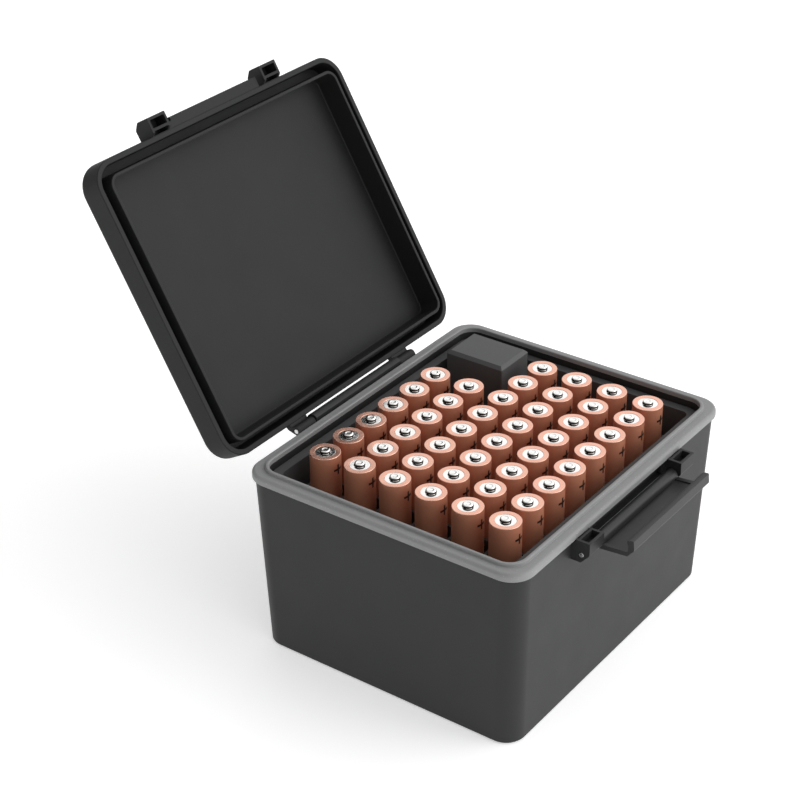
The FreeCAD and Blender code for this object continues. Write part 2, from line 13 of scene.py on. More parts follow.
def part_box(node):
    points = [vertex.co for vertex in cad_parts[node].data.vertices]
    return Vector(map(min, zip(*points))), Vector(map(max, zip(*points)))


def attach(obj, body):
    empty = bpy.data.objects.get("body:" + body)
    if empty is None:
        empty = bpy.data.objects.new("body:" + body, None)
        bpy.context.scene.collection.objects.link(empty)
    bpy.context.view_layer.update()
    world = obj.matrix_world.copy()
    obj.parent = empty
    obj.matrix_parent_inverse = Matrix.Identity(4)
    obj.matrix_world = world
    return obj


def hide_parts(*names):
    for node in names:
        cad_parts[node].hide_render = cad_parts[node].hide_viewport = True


# Looks of a battery storage case: a moulded box with a hinged lid, a snap latch, a lift-out tray, a corner
# block and rows of round cells. Sizes are in millimetres and are turned into metres when a mesh is made.
# The axes are the part's own: +X right seen from the latch, +Y towards the hinge, +Z up.

MM = 0.001
BITE = 1.3          # how deep a piece that is set on a wall reaches into it
CLEAR = 0.3         # the gap that the fittings keep from the seal
PAST = 2.0          # how far a cutter reaches past what it cuts
CORE_WALL = 1.4     # the walls round the cells of a bracket or a tower
CORE_FRONT = 4.0    # how deep the front cell is from front to back
TINY = 1e-6         # a length that counts as none
SAME = 1e-7         # corners this near in metres are one
STRAIGHT = 0.02     # a corner this near straight or folded, in radians, stays sharp
BEND_SHARE = 0.48   # a bend takes at most this share of the sides beside it
LEAST_RADIUS = 0.05
TURNED_MAP = "sleeve"

Point = tuple[float, float]
Colour = tuple[float, float, float]
Socket = bpy.types.NodeSocket
Piece = bpy.types.Object

log = logging.getLogger("battery_case")
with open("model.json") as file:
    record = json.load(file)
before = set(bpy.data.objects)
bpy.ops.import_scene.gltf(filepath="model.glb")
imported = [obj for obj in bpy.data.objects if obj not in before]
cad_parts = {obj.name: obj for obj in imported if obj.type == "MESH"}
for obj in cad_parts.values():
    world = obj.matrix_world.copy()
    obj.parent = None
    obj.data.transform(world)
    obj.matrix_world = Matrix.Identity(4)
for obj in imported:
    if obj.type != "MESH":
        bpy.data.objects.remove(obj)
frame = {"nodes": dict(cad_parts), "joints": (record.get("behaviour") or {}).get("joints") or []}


class Body(Enum):
    """The bodies that the case, the lid, the latch and the block ride on."""

    CASE = "case"
    LID = "lid"
    LATCH = "latch"
    BLOCK = "block"


class Grain(Enum):
    """How coarse the mould's grain is, as the noise scale per metre."""

    FINE = 5200.0
    MEDIUM = 3400.0


def joint(name: str) -> dict:
    """Finds a joint of the frame by its name."""
    return next(item for item in frame["joints"] if item["name"] == name)


def corners(node: str) -> tuple[Vector, Vector]:
    """The lowest and highest corner of a node at rest, in millimetres."""
    low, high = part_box(node)
    return low / MM, high / MM


# Shader building

def toned(colour: Colour, by: float) -> Colour:
    """A colour with its strength multiplied."""
    return tuple(part * by for part in colour)


class Nodes:
    """A tree whose nodes are added one by one."""

    def __init__(self, tree: bpy.types.NodeTree) -> None:
        """Takes the tree that gets the nodes."""
        self.tree = tree

    def add(self, kind: str, **values: object) -> bpy.types.Node:
        """Adds a node.

        Args:
            kind: the node's type name.
            values: the node's own settings.

        Returns:
            The new node.
        """
        node = self.tree.nodes.new(kind)
        for key, value in values.items():
            setattr(node, key, value)
        return node

    def join(self, source: object, target: object) -> None:
        """Links an output to an input, or sets the input if the source is a plain value."""
        if isinstance(source, Socket):
            self.tree.links.new(source, target)
        else:
            target.default_value = source

    def sum(self, operation: str, first: object, second: object) -> Socket:
        """Does one sum on two values."""
        node = self.add("ShaderNodeMath", operation=operation)
        self.join(first, node.inputs[0])
        self.join(second, node.inputs[1])
        return node.outputs["Value"]


class Shader(Nodes):
    """A material and its nodes."""

    def __init__(self, name: str) -> None:
        """Starts an empty material.

        Args:
            name: the material's name.
        """
        self.material = bpy.data.materials.new(name)
        self.material.use_nodes = True
        super().__init__(self.material.node_tree)
        self.tree.nodes.clear()
        self.surface = self.add("ShaderNodeBsdfPrincipled")
        output = self.add("ShaderNodeOutputMaterial")
        self.join(self.surface.outputs["BSDF"], output.inputs["Surface"])
        self.place = self.add("ShaderNodeTexCoord").outputs["Object"]

    def noise(self, scale: float, detail: float) -> Socket:
        """A noise value from 0 to 1 on the piece's own coordinates.

        Args:
            scale: how many features there are to the metre.
            detail: how many finer layers lie on it.

        Returns:
            The noise's value.
        """
        node = self.add("ShaderNodeTexNoise")
        node.inputs["Scale"].default_value = scale
        node.inputs["Detail"].default_value = detail
        self.join(self.place, node.inputs["Vector"])
        return node.outputs["Fac"]

    def turned_map(self) -> tuple[Socket, Socket]:
        """The map of a turned piece: the share of the way round, and the depth in millimetres."""
        mapped = self.add("ShaderNodeUVMap", uv_map=TURNED_MAP).outputs["UV"]
        parts = self.add("ShaderNodeSeparateXYZ")
        self.join(mapped, parts.inputs[0])
        return parts.outputs["X"], self.sum("DIVIDE", parts.outputs["Y"], MM)

    def spread(self, value: object, low: float, high: float, start: float = 0.0, end: float = 1.0) -> object:
        """Maps a value onto a range.

        Args:
            value: the value to map.
            low: what the start becomes.
            high: what the end becomes.
            start: the value's low end.
            end: the value's high end.

        Returns:
            The mapped value.
        """
        node = self.add("ShaderNodeMapRange")
        self.join(value, node.inputs["Value"])
        for name, number in (("From Min", start), ("From Max", end), ("To Min", low), ("To Max", high)):
            node.inputs[name].default_value = number
        return node.outputs["Result"]

    def varied(self, noise: object, middle: float, less: float, more: float) -> object:
        """Spreads a noise's usual reach, 0.3 to 0.7, to both sides of a middle value."""
        return self.spread(noise, middle - less, middle + more, 0.3, 0.7)

    def blend(self, share: object, first: object, second: object) -> Socket:
        """Mixes two colours.

        Args:
            share: how much of the second colour shows.
            first: the colour at a share of 0.
            second: the colour at a share of 1.

        Returns:
            The mixed colour.
        """
        node = self.add("ShaderNodeMix", data_type="RGBA")
        self.join(share, node.inputs["Factor"])
        self.join(first if isinstance(first, Socket) else (*first, 1.0), node.inputs["A"])
        self.join(second if isinstance(second, Socket) else (*second, 1.0), node.inputs["B"])
        return node.outputs["Result"]

    def bump(self, height: object, distance: float, strength: float) -> None:
        """Roughens the surface.

        Args:
            height: the relief's height, from 0 to 1.
            distance: what a height of 1 stands for, in millimetres.
            strength: how much of the relief shows.
        """
        node = self.add("ShaderNodeBump")
        node.inputs["Distance"].default_value = distance * MM
        node.inputs["Strength"].default_value = strength
        self.join(height, node.inputs["Height"])
        self.join(node.outputs["Normal"], self.surface.inputs["Normal"])

    def finish(self, **values: object) -> bpy.types.Material:
        """Sets the surface's inputs, given with spaces as underscores, and returns the material."""
        for key, value in values.items():
            target = self.surface.inputs[key.replace("_", " ")]
            self.join((*value, 1.0) if isinstance(value, tuple) else value, target)
        return self.material


@dataclass(frozen=True)
class MouldedPlastic:
    """Moulded plastic with a fine even grain, faint clouds and faint smears in its gloss."""

    name: str
    colour: Colour
    grain: Grain = Grain.FINE
    roughness: float = 0.5
    specular: float = 0.35
    relief: float = 0.12
    relief_depth: float = 0.04
    cloud_scale: float = 22.0
    cloud_share: float = 0.03
    smear_scale: float = 66.0
    smear_share: float = 0.02

    def make(self) -> bpy.types.Material:
        """Builds the material."""
        shader = Shader(self.name)
        clouds = shader.noise(self.cloud_scale, 3.0)
        low, high = 1 - self.cloud_share, 1 + self.cloud_share
        base = shader.blend(clouds, toned(self.colour, low), toned(self.colour, high))
        shader.bump(shader.noise(self.grain.value, 2.0), self.relief_depth, self.relief)
        smears = shader.noise(self.smear_scale, 4.0)
        gloss = shader.varied(smears, self.roughness, self.smear_share, self.smear_share)
        return shader.finish(Base_Color=base, Roughness=gloss, Specular_IOR_Level=self.specular)


@dataclass(frozen=True)
class SoftSeal:
    """Smooth soft rubber with a dull bloom and a few specks of dust."""

    name: str
    colour: Colour
    roughness: float = 0.46
    roughness_share: float = 0.06
    specular: float = 0.4
    relief: float = 0.08
    relief_scale: float = 2600.0
    relief_depth: float = 0.03
    bloom_scale: float = 60.0
    bloom_share: float = 0.08
    speck_scale: float = 1400.0
    speck_from: float = 0.74
    speck_to: float = 0.8
    speck_share: float = 0.25
    speck_colour: Colour = (0.5, 0.5, 0.49)

    def make(self) -> bpy.types.Material:
        """Builds the material."""
        shader = Shader(self.name)
        bloom = shader.noise(self.bloom_scale, 4.0)
        low, high = 1 - self.bloom_share, 1 + self.bloom_share
        base = shader.blend(bloom, toned(self.colour, low), toned(self.colour, high))
        specks = shader.spread(shader.noise(self.speck_scale, 0.0), 0.0, self.speck_share,
                               self.speck_from, self.speck_to)
        base = shader.blend(specks, base, self.speck_colour)
        shader.bump(shader.noise(self.relief_scale, 2.0), self.relief_depth, self.relief)
        gloss = shader.varied(bloom, self.roughness, self.roughness_share, self.roughness_share)
        return shader.finish(Base_Color=base, Roughness=gloss, Specular_IOR_Level=self.specular)


@dataclass(frozen=True)
class FoilSleeve:
    """A shrunk sleeve with a printed plus sign, its shoulder painted a lighter colour as a painted sheen of
    reflected sky.

    Both are read from the piece's own map. Its first axis runs once round the sleeve and its second is the
    depth in metres below the cell's top.
    """

    name: str
    colour: Colour
    # The shoulder's colour is a painted sheen, lighter than the print, standing in for reflected sky.
    shoulder_sheen: Colour
    mark: Colour
    roughness: float = 0.34
    roughness_less: float = 0.05
    roughness_more: float = 0.07
    specular: float = 0.5
    shoulder_smoother: float = 0.12
    shoulder_depth: float = 1.35
    shoulder_fade: float = 0.4
    shoulder_metal: float = 0.92
    side_metal: float = 0.3
    cloud_scale: float = 180.0
    cloud_tone: float = 0.9
    wrinkle_scale: float = 420.0
    wrinkle_depth: float = 0.06
    wrinkle_relief: float = 0.12
    mark_turn: float = 0.25
    mark_drop: float = 8.05
    mark_arm: float = 2.6
    mark_line: float = 0.55
    girth: float = 45.55

    def make(self) -> bpy.types.Material:
        """Builds the material."""
        shader = Shader(self.name)
        turn, down = shader.turned_map()
        round_it = shader.sum("MULTIPLY", shader.sum("SUBTRACT", turn, self.mark_turn), self.girth)
        across = shader.sum("ABSOLUTE", round_it, 0.0)
        along = shader.sum("ABSOLUTE", shader.sum("SUBTRACT", down, self.mark_drop), 0.0)
        mark = shader.sum("MAXIMUM", self.bar(shader, across, along), self.bar(shader, along, across))
        clouds = shader.noise(self.cloud_scale, 3.0)
        fade_end = self.shoulder_depth + self.shoulder_fade
        side = shader.spread(down, 0.0, 1.0, self.shoulder_depth, fade_end)
        base = shader.blend(clouds, toned(self.colour, self.cloud_tone), self.colour)
        # Above the shoulder depth the lighter colour is a painted sheen for the sky that the shoulder
        # reflects.
        base = shader.blend(mark, shader.blend(side, self.shoulder_sheen, base), self.mark)
        metal = shader.spread(side, self.shoulder_metal, self.side_metal)
        metal = shader.sum("MULTIPLY", metal, shader.spread(mark, 1.0, 0.0))
        shader.bump(shader.noise(self.wrinkle_scale, 2.0), self.wrinkle_depth, self.wrinkle_relief)
        gloss = shader.varied(clouds, self.roughness, self.roughness_less, self.roughness_more)
        gloss = shader.sum("ADD", gloss, shader.spread(side, -self.shoulder_smoother, 0.0))
        return shader.finish(Base_Color=base, Metallic=metal, Roughness=gloss,
                             Specular_IOR_Level=self.specular)

    def bar(self, shader: Shader, length: object, width: object) -> object:
        """One bar of the plus sign, 1 inside it and 0 outside."""
        inside = shader.sum("LESS_THAN", length, self.mark_arm)
        return shader.sum("MULTIPLY", inside, shader.sum("LESS_THAN", width, self.mark_line))


@dataclass(frozen=True)
class PlatedSteel:
    """Bright plated or drawn steel with faint rubbed patches.

    On a piece with a turned piece's map, the steel is painted dark from one depth below the top to another,
    as on the side of a cell's raised end: painted shade and painted dark reflection.
    """

    name: str
    colour: Colour
    roughness: float = 0.12
    roughness_less: float = 0.04
    roughness_more: float = 0.08
    rub_scale: float = 700.0
    rub_tone: float = 0.88
    relief: float = 0.05
    relief_scale: float = 2400.0
    relief_depth: float = 0.02
    shade_band_from: float = 0.0
    shade_band_to: float = 0.0
    fade_in: float = 0.2
    fade_out: float = 0.1
    painted_shade_colour: Colour = (0.05, 0.045, 0.04)

    def make(self) -> bpy.types.Material:
        """Builds the material."""
        shader = Shader(self.name)
        rubbed = shader.noise(self.rub_scale, 4.0)
        base = shader.blend(rubbed, toned(self.colour, self.rub_tone), self.colour)
        # The dark band is painted shade and painted dark reflection on the side of the nub.
        if self.shade_band_to > self.shade_band_from:
            down = shader.turned_map()[1]
            below = shader.spread(down, 0.0, 1.0, self.shade_band_from, self.shade_band_from + self.fade_in)
            above = shader.spread(down, 1.0, 0.0, self.shade_band_to - self.fade_out, self.shade_band_to)
            base = shader.blend(shader.sum("MULTIPLY", below, above), base, self.painted_shade_colour)
        shader.bump(shader.noise(self.relief_scale, 3.0), self.relief_depth, self.relief)
        gloss = shader.varied(rubbed, self.roughness, self.roughness_less, self.roughness_more)
        return shader.finish(Base_Color=base, Metallic=1.0, Roughness=gloss)


CASE_PLASTIC = MouldedPlastic("case_plastic", (0.0215, 0.0217, 0.0219), roughness=0.5, specular=0.3)
LID_PLASTIC = MouldedPlastic("lid_plastic", (0.0145, 0.0146, 0.0148), roughness=0.52, specular=0.22)
LATCH_PLASTIC = MouldedPlastic("latch_plastic", (0.028, 0.028, 0.0283), roughness=0.42, specular=0.35)
TRAY_PLASTIC = MouldedPlastic("tray_plastic", (0.062, 0.0623, 0.0628), Grain.MEDIUM, 0.55, 0.22)
BLOCK_PLASTIC = MouldedPlastic("block_plastic", (0.08, 0.0805, 0.081), Grain.MEDIUM, roughness=0.5)
SEAL_RUBBER = SoftSeal("seal_rubber", (0.25, 0.251, 0.253))
PIN_STEEL = PlatedSteel("pin_steel", (0.66, 0.66, 0.65), roughness=0.24)
# From 0.2 to 1.3 mm below the top the can gets a band of painted shade and painted dark reflection.
CELL_STEEL = PlatedSteel("cell_steel", (0.97, 0.96, 0.94), roughness=0.1, shade_band_from=0.2, shade_band_to=1.3)
# The second colour is the shoulder's painted sheen, lighter than the sleeve's own print colour.
CELL_PRINT = FoilSleeve("cell_print", (0.62, 0.25, 0.15), (0.84, 0.47, 0.36), (0.012, 0.006, 0.005))


# Mesh building

@dataclass(frozen=True)
class Plan:
    """A rectangle with round corners, seen from above."""

    half_x: float
    half_y: float
    radius: float
    middle_y: float = 0.0
    middle_x: float = 0.0

    def shrunk(self, by: float) -> "Plan":
        """The same rectangle with every side moved in and its corners kept as round as they are."""
        return replace(self, half_x=self.half_x - by, half_y=self.half_y - by)

    def outline(self, out: float, steps: int) -> list[Point]:
        """Walks round the rectangle.

        Args:
            out: how far outside the rectangle the walk is.
            steps: how many steps each corner takes.

        Returns:
            The points, anticlockwise.
        """
        radius = max(self.radius + out, LEAST_RADIUS)
        cx = self.half_x + out - radius
        cy = self.half_y + out - radius
        points = []
        for quarter, (sx, sy) in enumerate(((1, 1), (-1, 1), (-1, -1), (1, -1))):
            for step in range(steps + 1):
                angle = (quarter + step / steps) * math.pi / 2
                x = sx * cx + radius * math.cos(angle) + self.middle_x
                y = sy * cy + radius * math.sin(angle) + self.middle_y
                points.append((x, y))
        return points


@dataclass(frozen=True)
class Stop:
    """One corner of a section that is carried round a plan."""

    plan: Plan
    out: float
    up: float
    bend: float = 0.0

    @property
    def flat(self) -> Point:
        """The corner on the section's own drawing."""
        return self.plan.half_x + self.out, self.up


def arc(before: Point, corner: Point, after: Point, bend: float, steps: int) -> list[Point]:
    """Rounds one corner of an outline.

    Args:
        before: the point before it.
        corner: the corner.
        after: the point after it.
        bend: the rounding's radius.
        steps: how many steps it takes.

    Returns:
        The points that take the corner's place.
    """
    here = Vector(corner)
    back = Vector(before) - here
    ahead = Vector(after) - here
    if bend <= 0 or min(back.length, ahead.length) < TINY:
        return [corner]
    half = back.angle(ahead) / 2
    if half < STRAIGHT or half > math.pi / 2 - STRAIGHT:
        return [corner]
    reach = min(bend / math.tan(half), BEND_SHARE * min(back.length, ahead.length))
    radius = reach * math.tan(half)
    back.normalize()
    ahead.normalize()
    centre = here + (back + ahead).normalized() * (radius / math.sin(half))
    first = here + back * reach - centre
    last = here + ahead * reach - centre
    turn = math.atan2(first.x * last.y - first.y * last.x, first.dot(last))
    points = []
    for step in range(steps + 1):
        spin = Matrix.Rotation(turn * step / steps, 2)
        point = centre + spin @ first
        points.append((point.x, point.y))
    return points


def rounded(outline: Sequence[tuple[float, ...]], steps: int = 5) -> list[Point]:
    """Rounds the corners of a closed outline given as (across, up) or (across, up, bend)."""
    points: list[Point] = []
    for index, corner in enumerate(outline):
        before = outline[index - 1][:2]
        after = outline[(index + 1) % len(outline)][:2]
        bend = corner[2] if len(corner) > 2 else 0.0
        points.extend(arc(before, corner[:2], after, bend, steps))
    return points


def ring_sections(stops: Sequence[Stop], closed: bool, steps: int) -> list[tuple[Plan, float, float]]:
    """Rounds the bends of a section and keeps each point with its plan.

    Args:
        stops: the section's corners.
        closed: whether the last corner joins the first.
        steps: how many steps each bend takes.

    Returns:
        The points as (plan, out, up).
    """
    points = []
    for index, stop in enumerate(stops):
        inner = closed or 0 < index < len(stops) - 1
        before = stops[index - 1]
        after = stops[(index + 1) % len(stops)]
        bend = stop.bend if inner else 0.0
        for across, up in arc(before.flat, stop.flat, after.flat, bend, steps):
            points.append((stop.plan, across - stop.plan.half_x, up))
    return points


def mesh_object(name: str, points: Iterable[Sequence[float]], faces: Iterable[Sequence[int]]) -> Piece:
    """Makes an object from points in millimetres.

    Args:
        name: the piece's name.
        points: the corners.
        faces: the faces, as corner numbers.

    Returns:
        The object, at the origin.
    """
    mesh = bpy.data.meshes.new(name)
    mesh.from_pydata([Vector(point) * MM for point in points], [], [list(face) for face in faces])
    mesh.validate()
    piece = bpy.data.objects.new(name, mesh)
    bpy.context.scene.collection.objects.link(piece)
    return piece


def carried(name: str, stops: Sequence[Stop], closed: bool = False, corner_steps: int = 20,
            bend_steps: int = 5) -> Piece:
    """Carries a section round its plans.

    Args:
        name: the piece's name.
        stops: the section's corners, in order.
        closed: whether the section is a loop. An open one is closed by a flat face at each end.
        corner_steps: how many steps each plan corner takes.
        bend_steps: how many steps each bend takes.

    Returns:
        The object.
    """
    points: list[Sequence[float]] = []
    total = 0
    for plan, out, up in ring_sections(stops, closed, bend_steps):
        points.extend((x, y, up) for x, y in plan.outline(out, corner_steps))
        total += 1
    count = 4 * (corner_steps + 1)
    faces: list[Sequence[int]] = []
    for level in range(total if closed else total - 1):
        lower, upper = level * count, (level + 1) % total * count
        for index in range(count):
            after = (index + 1) % count
            faces.append((lower + index, lower + after, upper + after, upper + index))
    if not closed:
        faces.append(list(range(count))[::-1])
        faces.append([(total - 1) * count + index for index in range(count)])
    return outward(mesh_object(name, points, faces))


def outward(piece: Piece) -> Piece:
    """Points every face of a closed piece outwards and merges doubled corners."""
    work = bmesh.new()
    work.from_mesh(piece.data)
    bmesh.ops.remove_doubles(work, verts=work.verts, dist=SAME)
    bmesh.ops.recalc_face_normals(work, faces=work.faces)
    work.to_mesh(piece.data)
    work.free()
    return piece


def extruded(name: str, outline: Sequence[Point], low: float, high: float) -> Piece:
    """Draws an outline of (y, z) points out along X.

    Args:
        name: the piece's name.
        outline: the closed outline.
        low: where it starts.
        high: where it ends.

    Returns:
        The object.
    """
    count = len(outline)
    points = [(x, y, z) for x in (low, high) for y, z in outline]
    faces: list[Sequence[int]] = [list(range(count)), [count + index for index in range(count)][::-1]]
    for index in range(count):
        after = (index + 1) % count
        faces.append((after, index, count + index, count + after))
    return outward(mesh_object(name, points, faces))


def block(name: str, low: Sequence[float], high: Sequence[float]) -> Piece:
    """A box between two corners, as an outline drawn out along X."""
    outline = [(low[1], low[2]), (high[1], low[2]), (high[1], high[2]), (low[1], high[2])]
    return extruded(name, outline, low[0], high[0])


def circle(radius: float, centre: Point, steps: int = 40) -> list[Point]:
    """The points of a circle."""
    turns = (2 * math.pi * index / steps for index in range(steps))
    return [(centre[0] + radius * math.cos(turn), centre[1] + radius * math.sin(turn)) for turn in turns]


def bore(radius: float, centre: Point, low: float, high: float) -> Piece:
    """A round cutter along X that reaches past both ends."""
    return extruded("bore", circle(radius, centre), low - PAST, high + PAST)


def cores(start: float, end: float, front: float, rear: float, low: float, high: float) -> list[Piece]:
    """The cutters for the front and the rear cell of a bracket or a tower.

    Args:
        start: where the piece begins along X.
        end: where it ends.
        front: where its front is.
        rear: how deep the rear cell is from front to back.
        low: the cells' lower end.
        high: the cells' upper end.

    Returns:
        The two cutters.
    """
    near = front + CORE_WALL
    far = near + CORE_FRONT + CORE_WALL
    spans = ((near, near + CORE_FRONT), (far, far + rear))
    return [block("cell", (start + CORE_WALL, a, low), (end - CORE_WALL, b, high)) for a, b in spans]


def turned(name: str, profile: Sequence[Point], top: float, steps: int) -> Piece:
    """Turns a closed profile of (radius, height) points about the upright axis.

    The piece gets a map: the first axis once round, the second the depth below a height in metres.

    Args:
        name: the piece's name.
        profile: the profile's points.
        top: the height that the map counts down from.
        steps: how many steps a full turn takes.

    Returns:
        The object.
    """
    points = []
    for step in range(steps):
        angle = 2 * math.pi * step / steps
        points.extend((radius * math.cos(angle), radius * math.sin(angle), up) for radius, up in profile)
    count = len(profile)
    faces = []
    maps = []
    for step in range(steps):
        near, far = step * count, (step + 1) % steps * count
        for index in range(count):
            follow = (index + 1) % count
            if profile[index][0] < TINY and profile[follow][0] < TINY:
                continue
            faces.append((near + index, far + index, far + follow, near + follow))
            low, high = step / steps - 0.5, (step + 1) / steps - 0.5
            maps.append(((low, index), (high, index), (high, follow), (low, follow)))
    piece = mesh_object(name, points, faces)
    layer = piece.data.uv_layers.new(name=TURNED_MAP)
    for face, corner_maps in zip(piece.data.polygons, maps):
        for loop, (turn, index) in zip(face.loop_indices, corner_maps):
            layer.data[loop].uv = (turn, (top - profile[index][1]) * MM)
    return outward(piece)


def cut(piece: Piece, cutters: Sequence[Piece], union: bool = False) -> Piece:
    """Cuts pieces out of another, or joins them to it, and removes them.

    Args:
        piece: what is cut.
        cutters: what is taken out or added.
        union: whether they are added.

    Returns:
        The piece.
    """
    for cutter in cutters:
        change = piece.modifiers.new("cut", "BOOLEAN")
        change.operation = "UNION" if union else "DIFFERENCE"
        change.solver = "EXACT"
        change.object = cutter
    settle(piece)
    for cutter in cutters:
        bpy.data.objects.remove(cutter)
    return piece


def settle(piece: Piece) -> Piece:
    """Turns a piece's modifiers into its plain mesh."""
    shaped = bpy.data.meshes.new_from_object(piece.evaluated_get(bpy.context.evaluated_depsgraph_get()))
    piece.modifiers.clear()
    old = piece.data
    piece.data = shaped
    shaped.name = piece.name
    bpy.data.meshes.remove(old)
    return piece


def softened(piece: Piece, width: float = 0.3, steps: int = 3, limit: float = 32.0) -> Piece:
    """Rounds a piece's sharp edges.

    Args:
        piece: the piece.
        width: the rounding's width in millimetres.
        steps: how many steps it takes.
        limit: the least turn, in degrees, that counts as an edge.

    Returns:
        The piece.
    """
    bevel = piece.modifiers.new("edges", "BEVEL")
    bevel.width = width * MM
    bevel.segments = steps
    bevel.limit_method = "ANGLE"
    bevel.angle_limit = math.radians(limit)
    bevel.miter_outer = "MITER_ARC"
    return settle(piece)


def shaded(piece: Piece, limit: float = 38.0) -> Piece:
    """Shades a piece smoothly, with flat faces kept flat and edges past a turn in degrees kept sharp."""
    work = bmesh.new()
    work.from_mesh(piece.data)
    for face in work.faces:
        face.smooth = True
    for edge in work.edges:
        edge.smooth = len(edge.link_faces) == 2 and edge.calc_face_angle(0.0) < math.radians(limit)
    work.to_mesh(piece.data)
    work.free()
    even = piece.modifiers.new("even", "WEIGHTED_NORMAL")
    even.keep_sharp = True
    even.weight = 60
    return settle(piece)


def joined(name: str, pieces: Sequence[Piece]) -> Piece:
    """Puts several solids into one piece."""
    work = bmesh.new()
    for piece in pieces:
        work.from_mesh(piece.data)
        bpy.data.objects.remove(piece)
    mesh = bpy.data.meshes.new(name)
    work.to_mesh(mesh)
    work.free()
    whole = bpy.data.objects.new(name, mesh)
    bpy.context.scene.collection.objects.link(whole)
    return whole


def swung(piece: Piece, pivot: Point, degrees: float) -> Piece:
    """Turns a piece's mesh about a line along X.

    Args:
        piece: the piece.
        pivot: the line's place as (y, z) in millimetres.
        degrees: the turn.

    Returns:
        The piece.
    """
    centre = Matrix.Translation((0.0, pivot[0] * MM, pivot[1] * MM))
    piece.data.transform(centre @ Matrix.Rotation(math.radians(degrees), 4, "X") @ centre.inverted())
    return piece


@dataclass
class Dresser:
    """Hands each finished piece its material and its body, and hides the nodes that it stands for."""

    materials: dict[str, bpy.types.Material] = field(default_factory=dict)

    def material(self, finish: object) -> bpy.types.Material:
        """Makes a finish's material once."""
        if finish.name not in self.materials:
            self.materials[finish.name] = finish.make()
        return self.materials[finish.name]

    def dress(self, piece: Piece, finish: object, body: str, *nodes: str) -> Piece:
        """Finishes a piece.

        Args:
            piece: the piece.
            finish: its finish, whose name is also the record's slot.
            body: the body that it rides on.
            nodes: the nodes that it stands for.

        Returns:
            The piece.
        """
        piece.data.materials.clear()
        piece.data.materials.append(self.material(finish))
        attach(piece, body)
        if nodes:
            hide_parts(*nodes)
        log.info("%s: %d faces, on %s", piece.name, len(piece.data.polygons), body)
        return piece


# The object's own pieces

@dataclass
class Rim:
    """The sizes that the case, the seal, the lid and the latch share, some of them read from the frame."""

    seal_width: float = 6.65
    seal_radius: float = 11.5
    opening_radius: float = 8.0
    body_inset: float = 1.5
    body_radius: float = 10.0
    bead_rise: float = 1.55
    tongue: float = 2.8
    tongue_drop: float = 2.35
    lid_gap: float = 0.3
    lid_inset_side: float = 1.5
    lid_inset_end: float = 1.1
    lid_radius: float = 12.5
    catch_reach: float = 5.0
    catch_height: float = 5.2
    bracket_rise: float = 1.05
    bracket_reach: float = 9.1
    bracket_inner: float = 34.0
    bracket_width: float = 12.0
    case_bore: float = 1.3
    moving_bore: float = 1.34

    def __post_init__(self) -> None:
        """Reads the seal, the hinge and the latch."""
        low, high = corners("rim_seal")
        self.bottom = low.z
        self.top = high.z
        self.seal = Plan(high.x, high.y, self.seal_radius)
        self.opening = Plan(high.x - self.seal_width, high.y - self.seal_width, self.opening_radius)
        self.body = Plan(high.x - self.body_inset, high.y - self.body_inset, self.body_radius)
        self.lid = Plan(high.x - self.lid_inset_side, high.y - self.lid_inset_end, self.lid_radius)
        lid = joint("lid_swing")
        latch = joint("latch_swing")
        self.hinge = (lid["pos_m"][1] / MM, lid["pos_m"][2] / MM)
        self.lid_turn = lid["range_deg"][0]
        self.pivot = (latch["pos_m"][1] / MM, latch["pos_m"][2] / MM)
        self.latch_turn = -latch["range_deg"][0]
        self.shelf = self.top - self.bead_rise
        self.lid_plane = self.shelf + self.lid_gap
        self.bracket_top = self.bottom + self.bracket_rise
        self.bracket_front = -self.body.half_y - self.bracket_reach


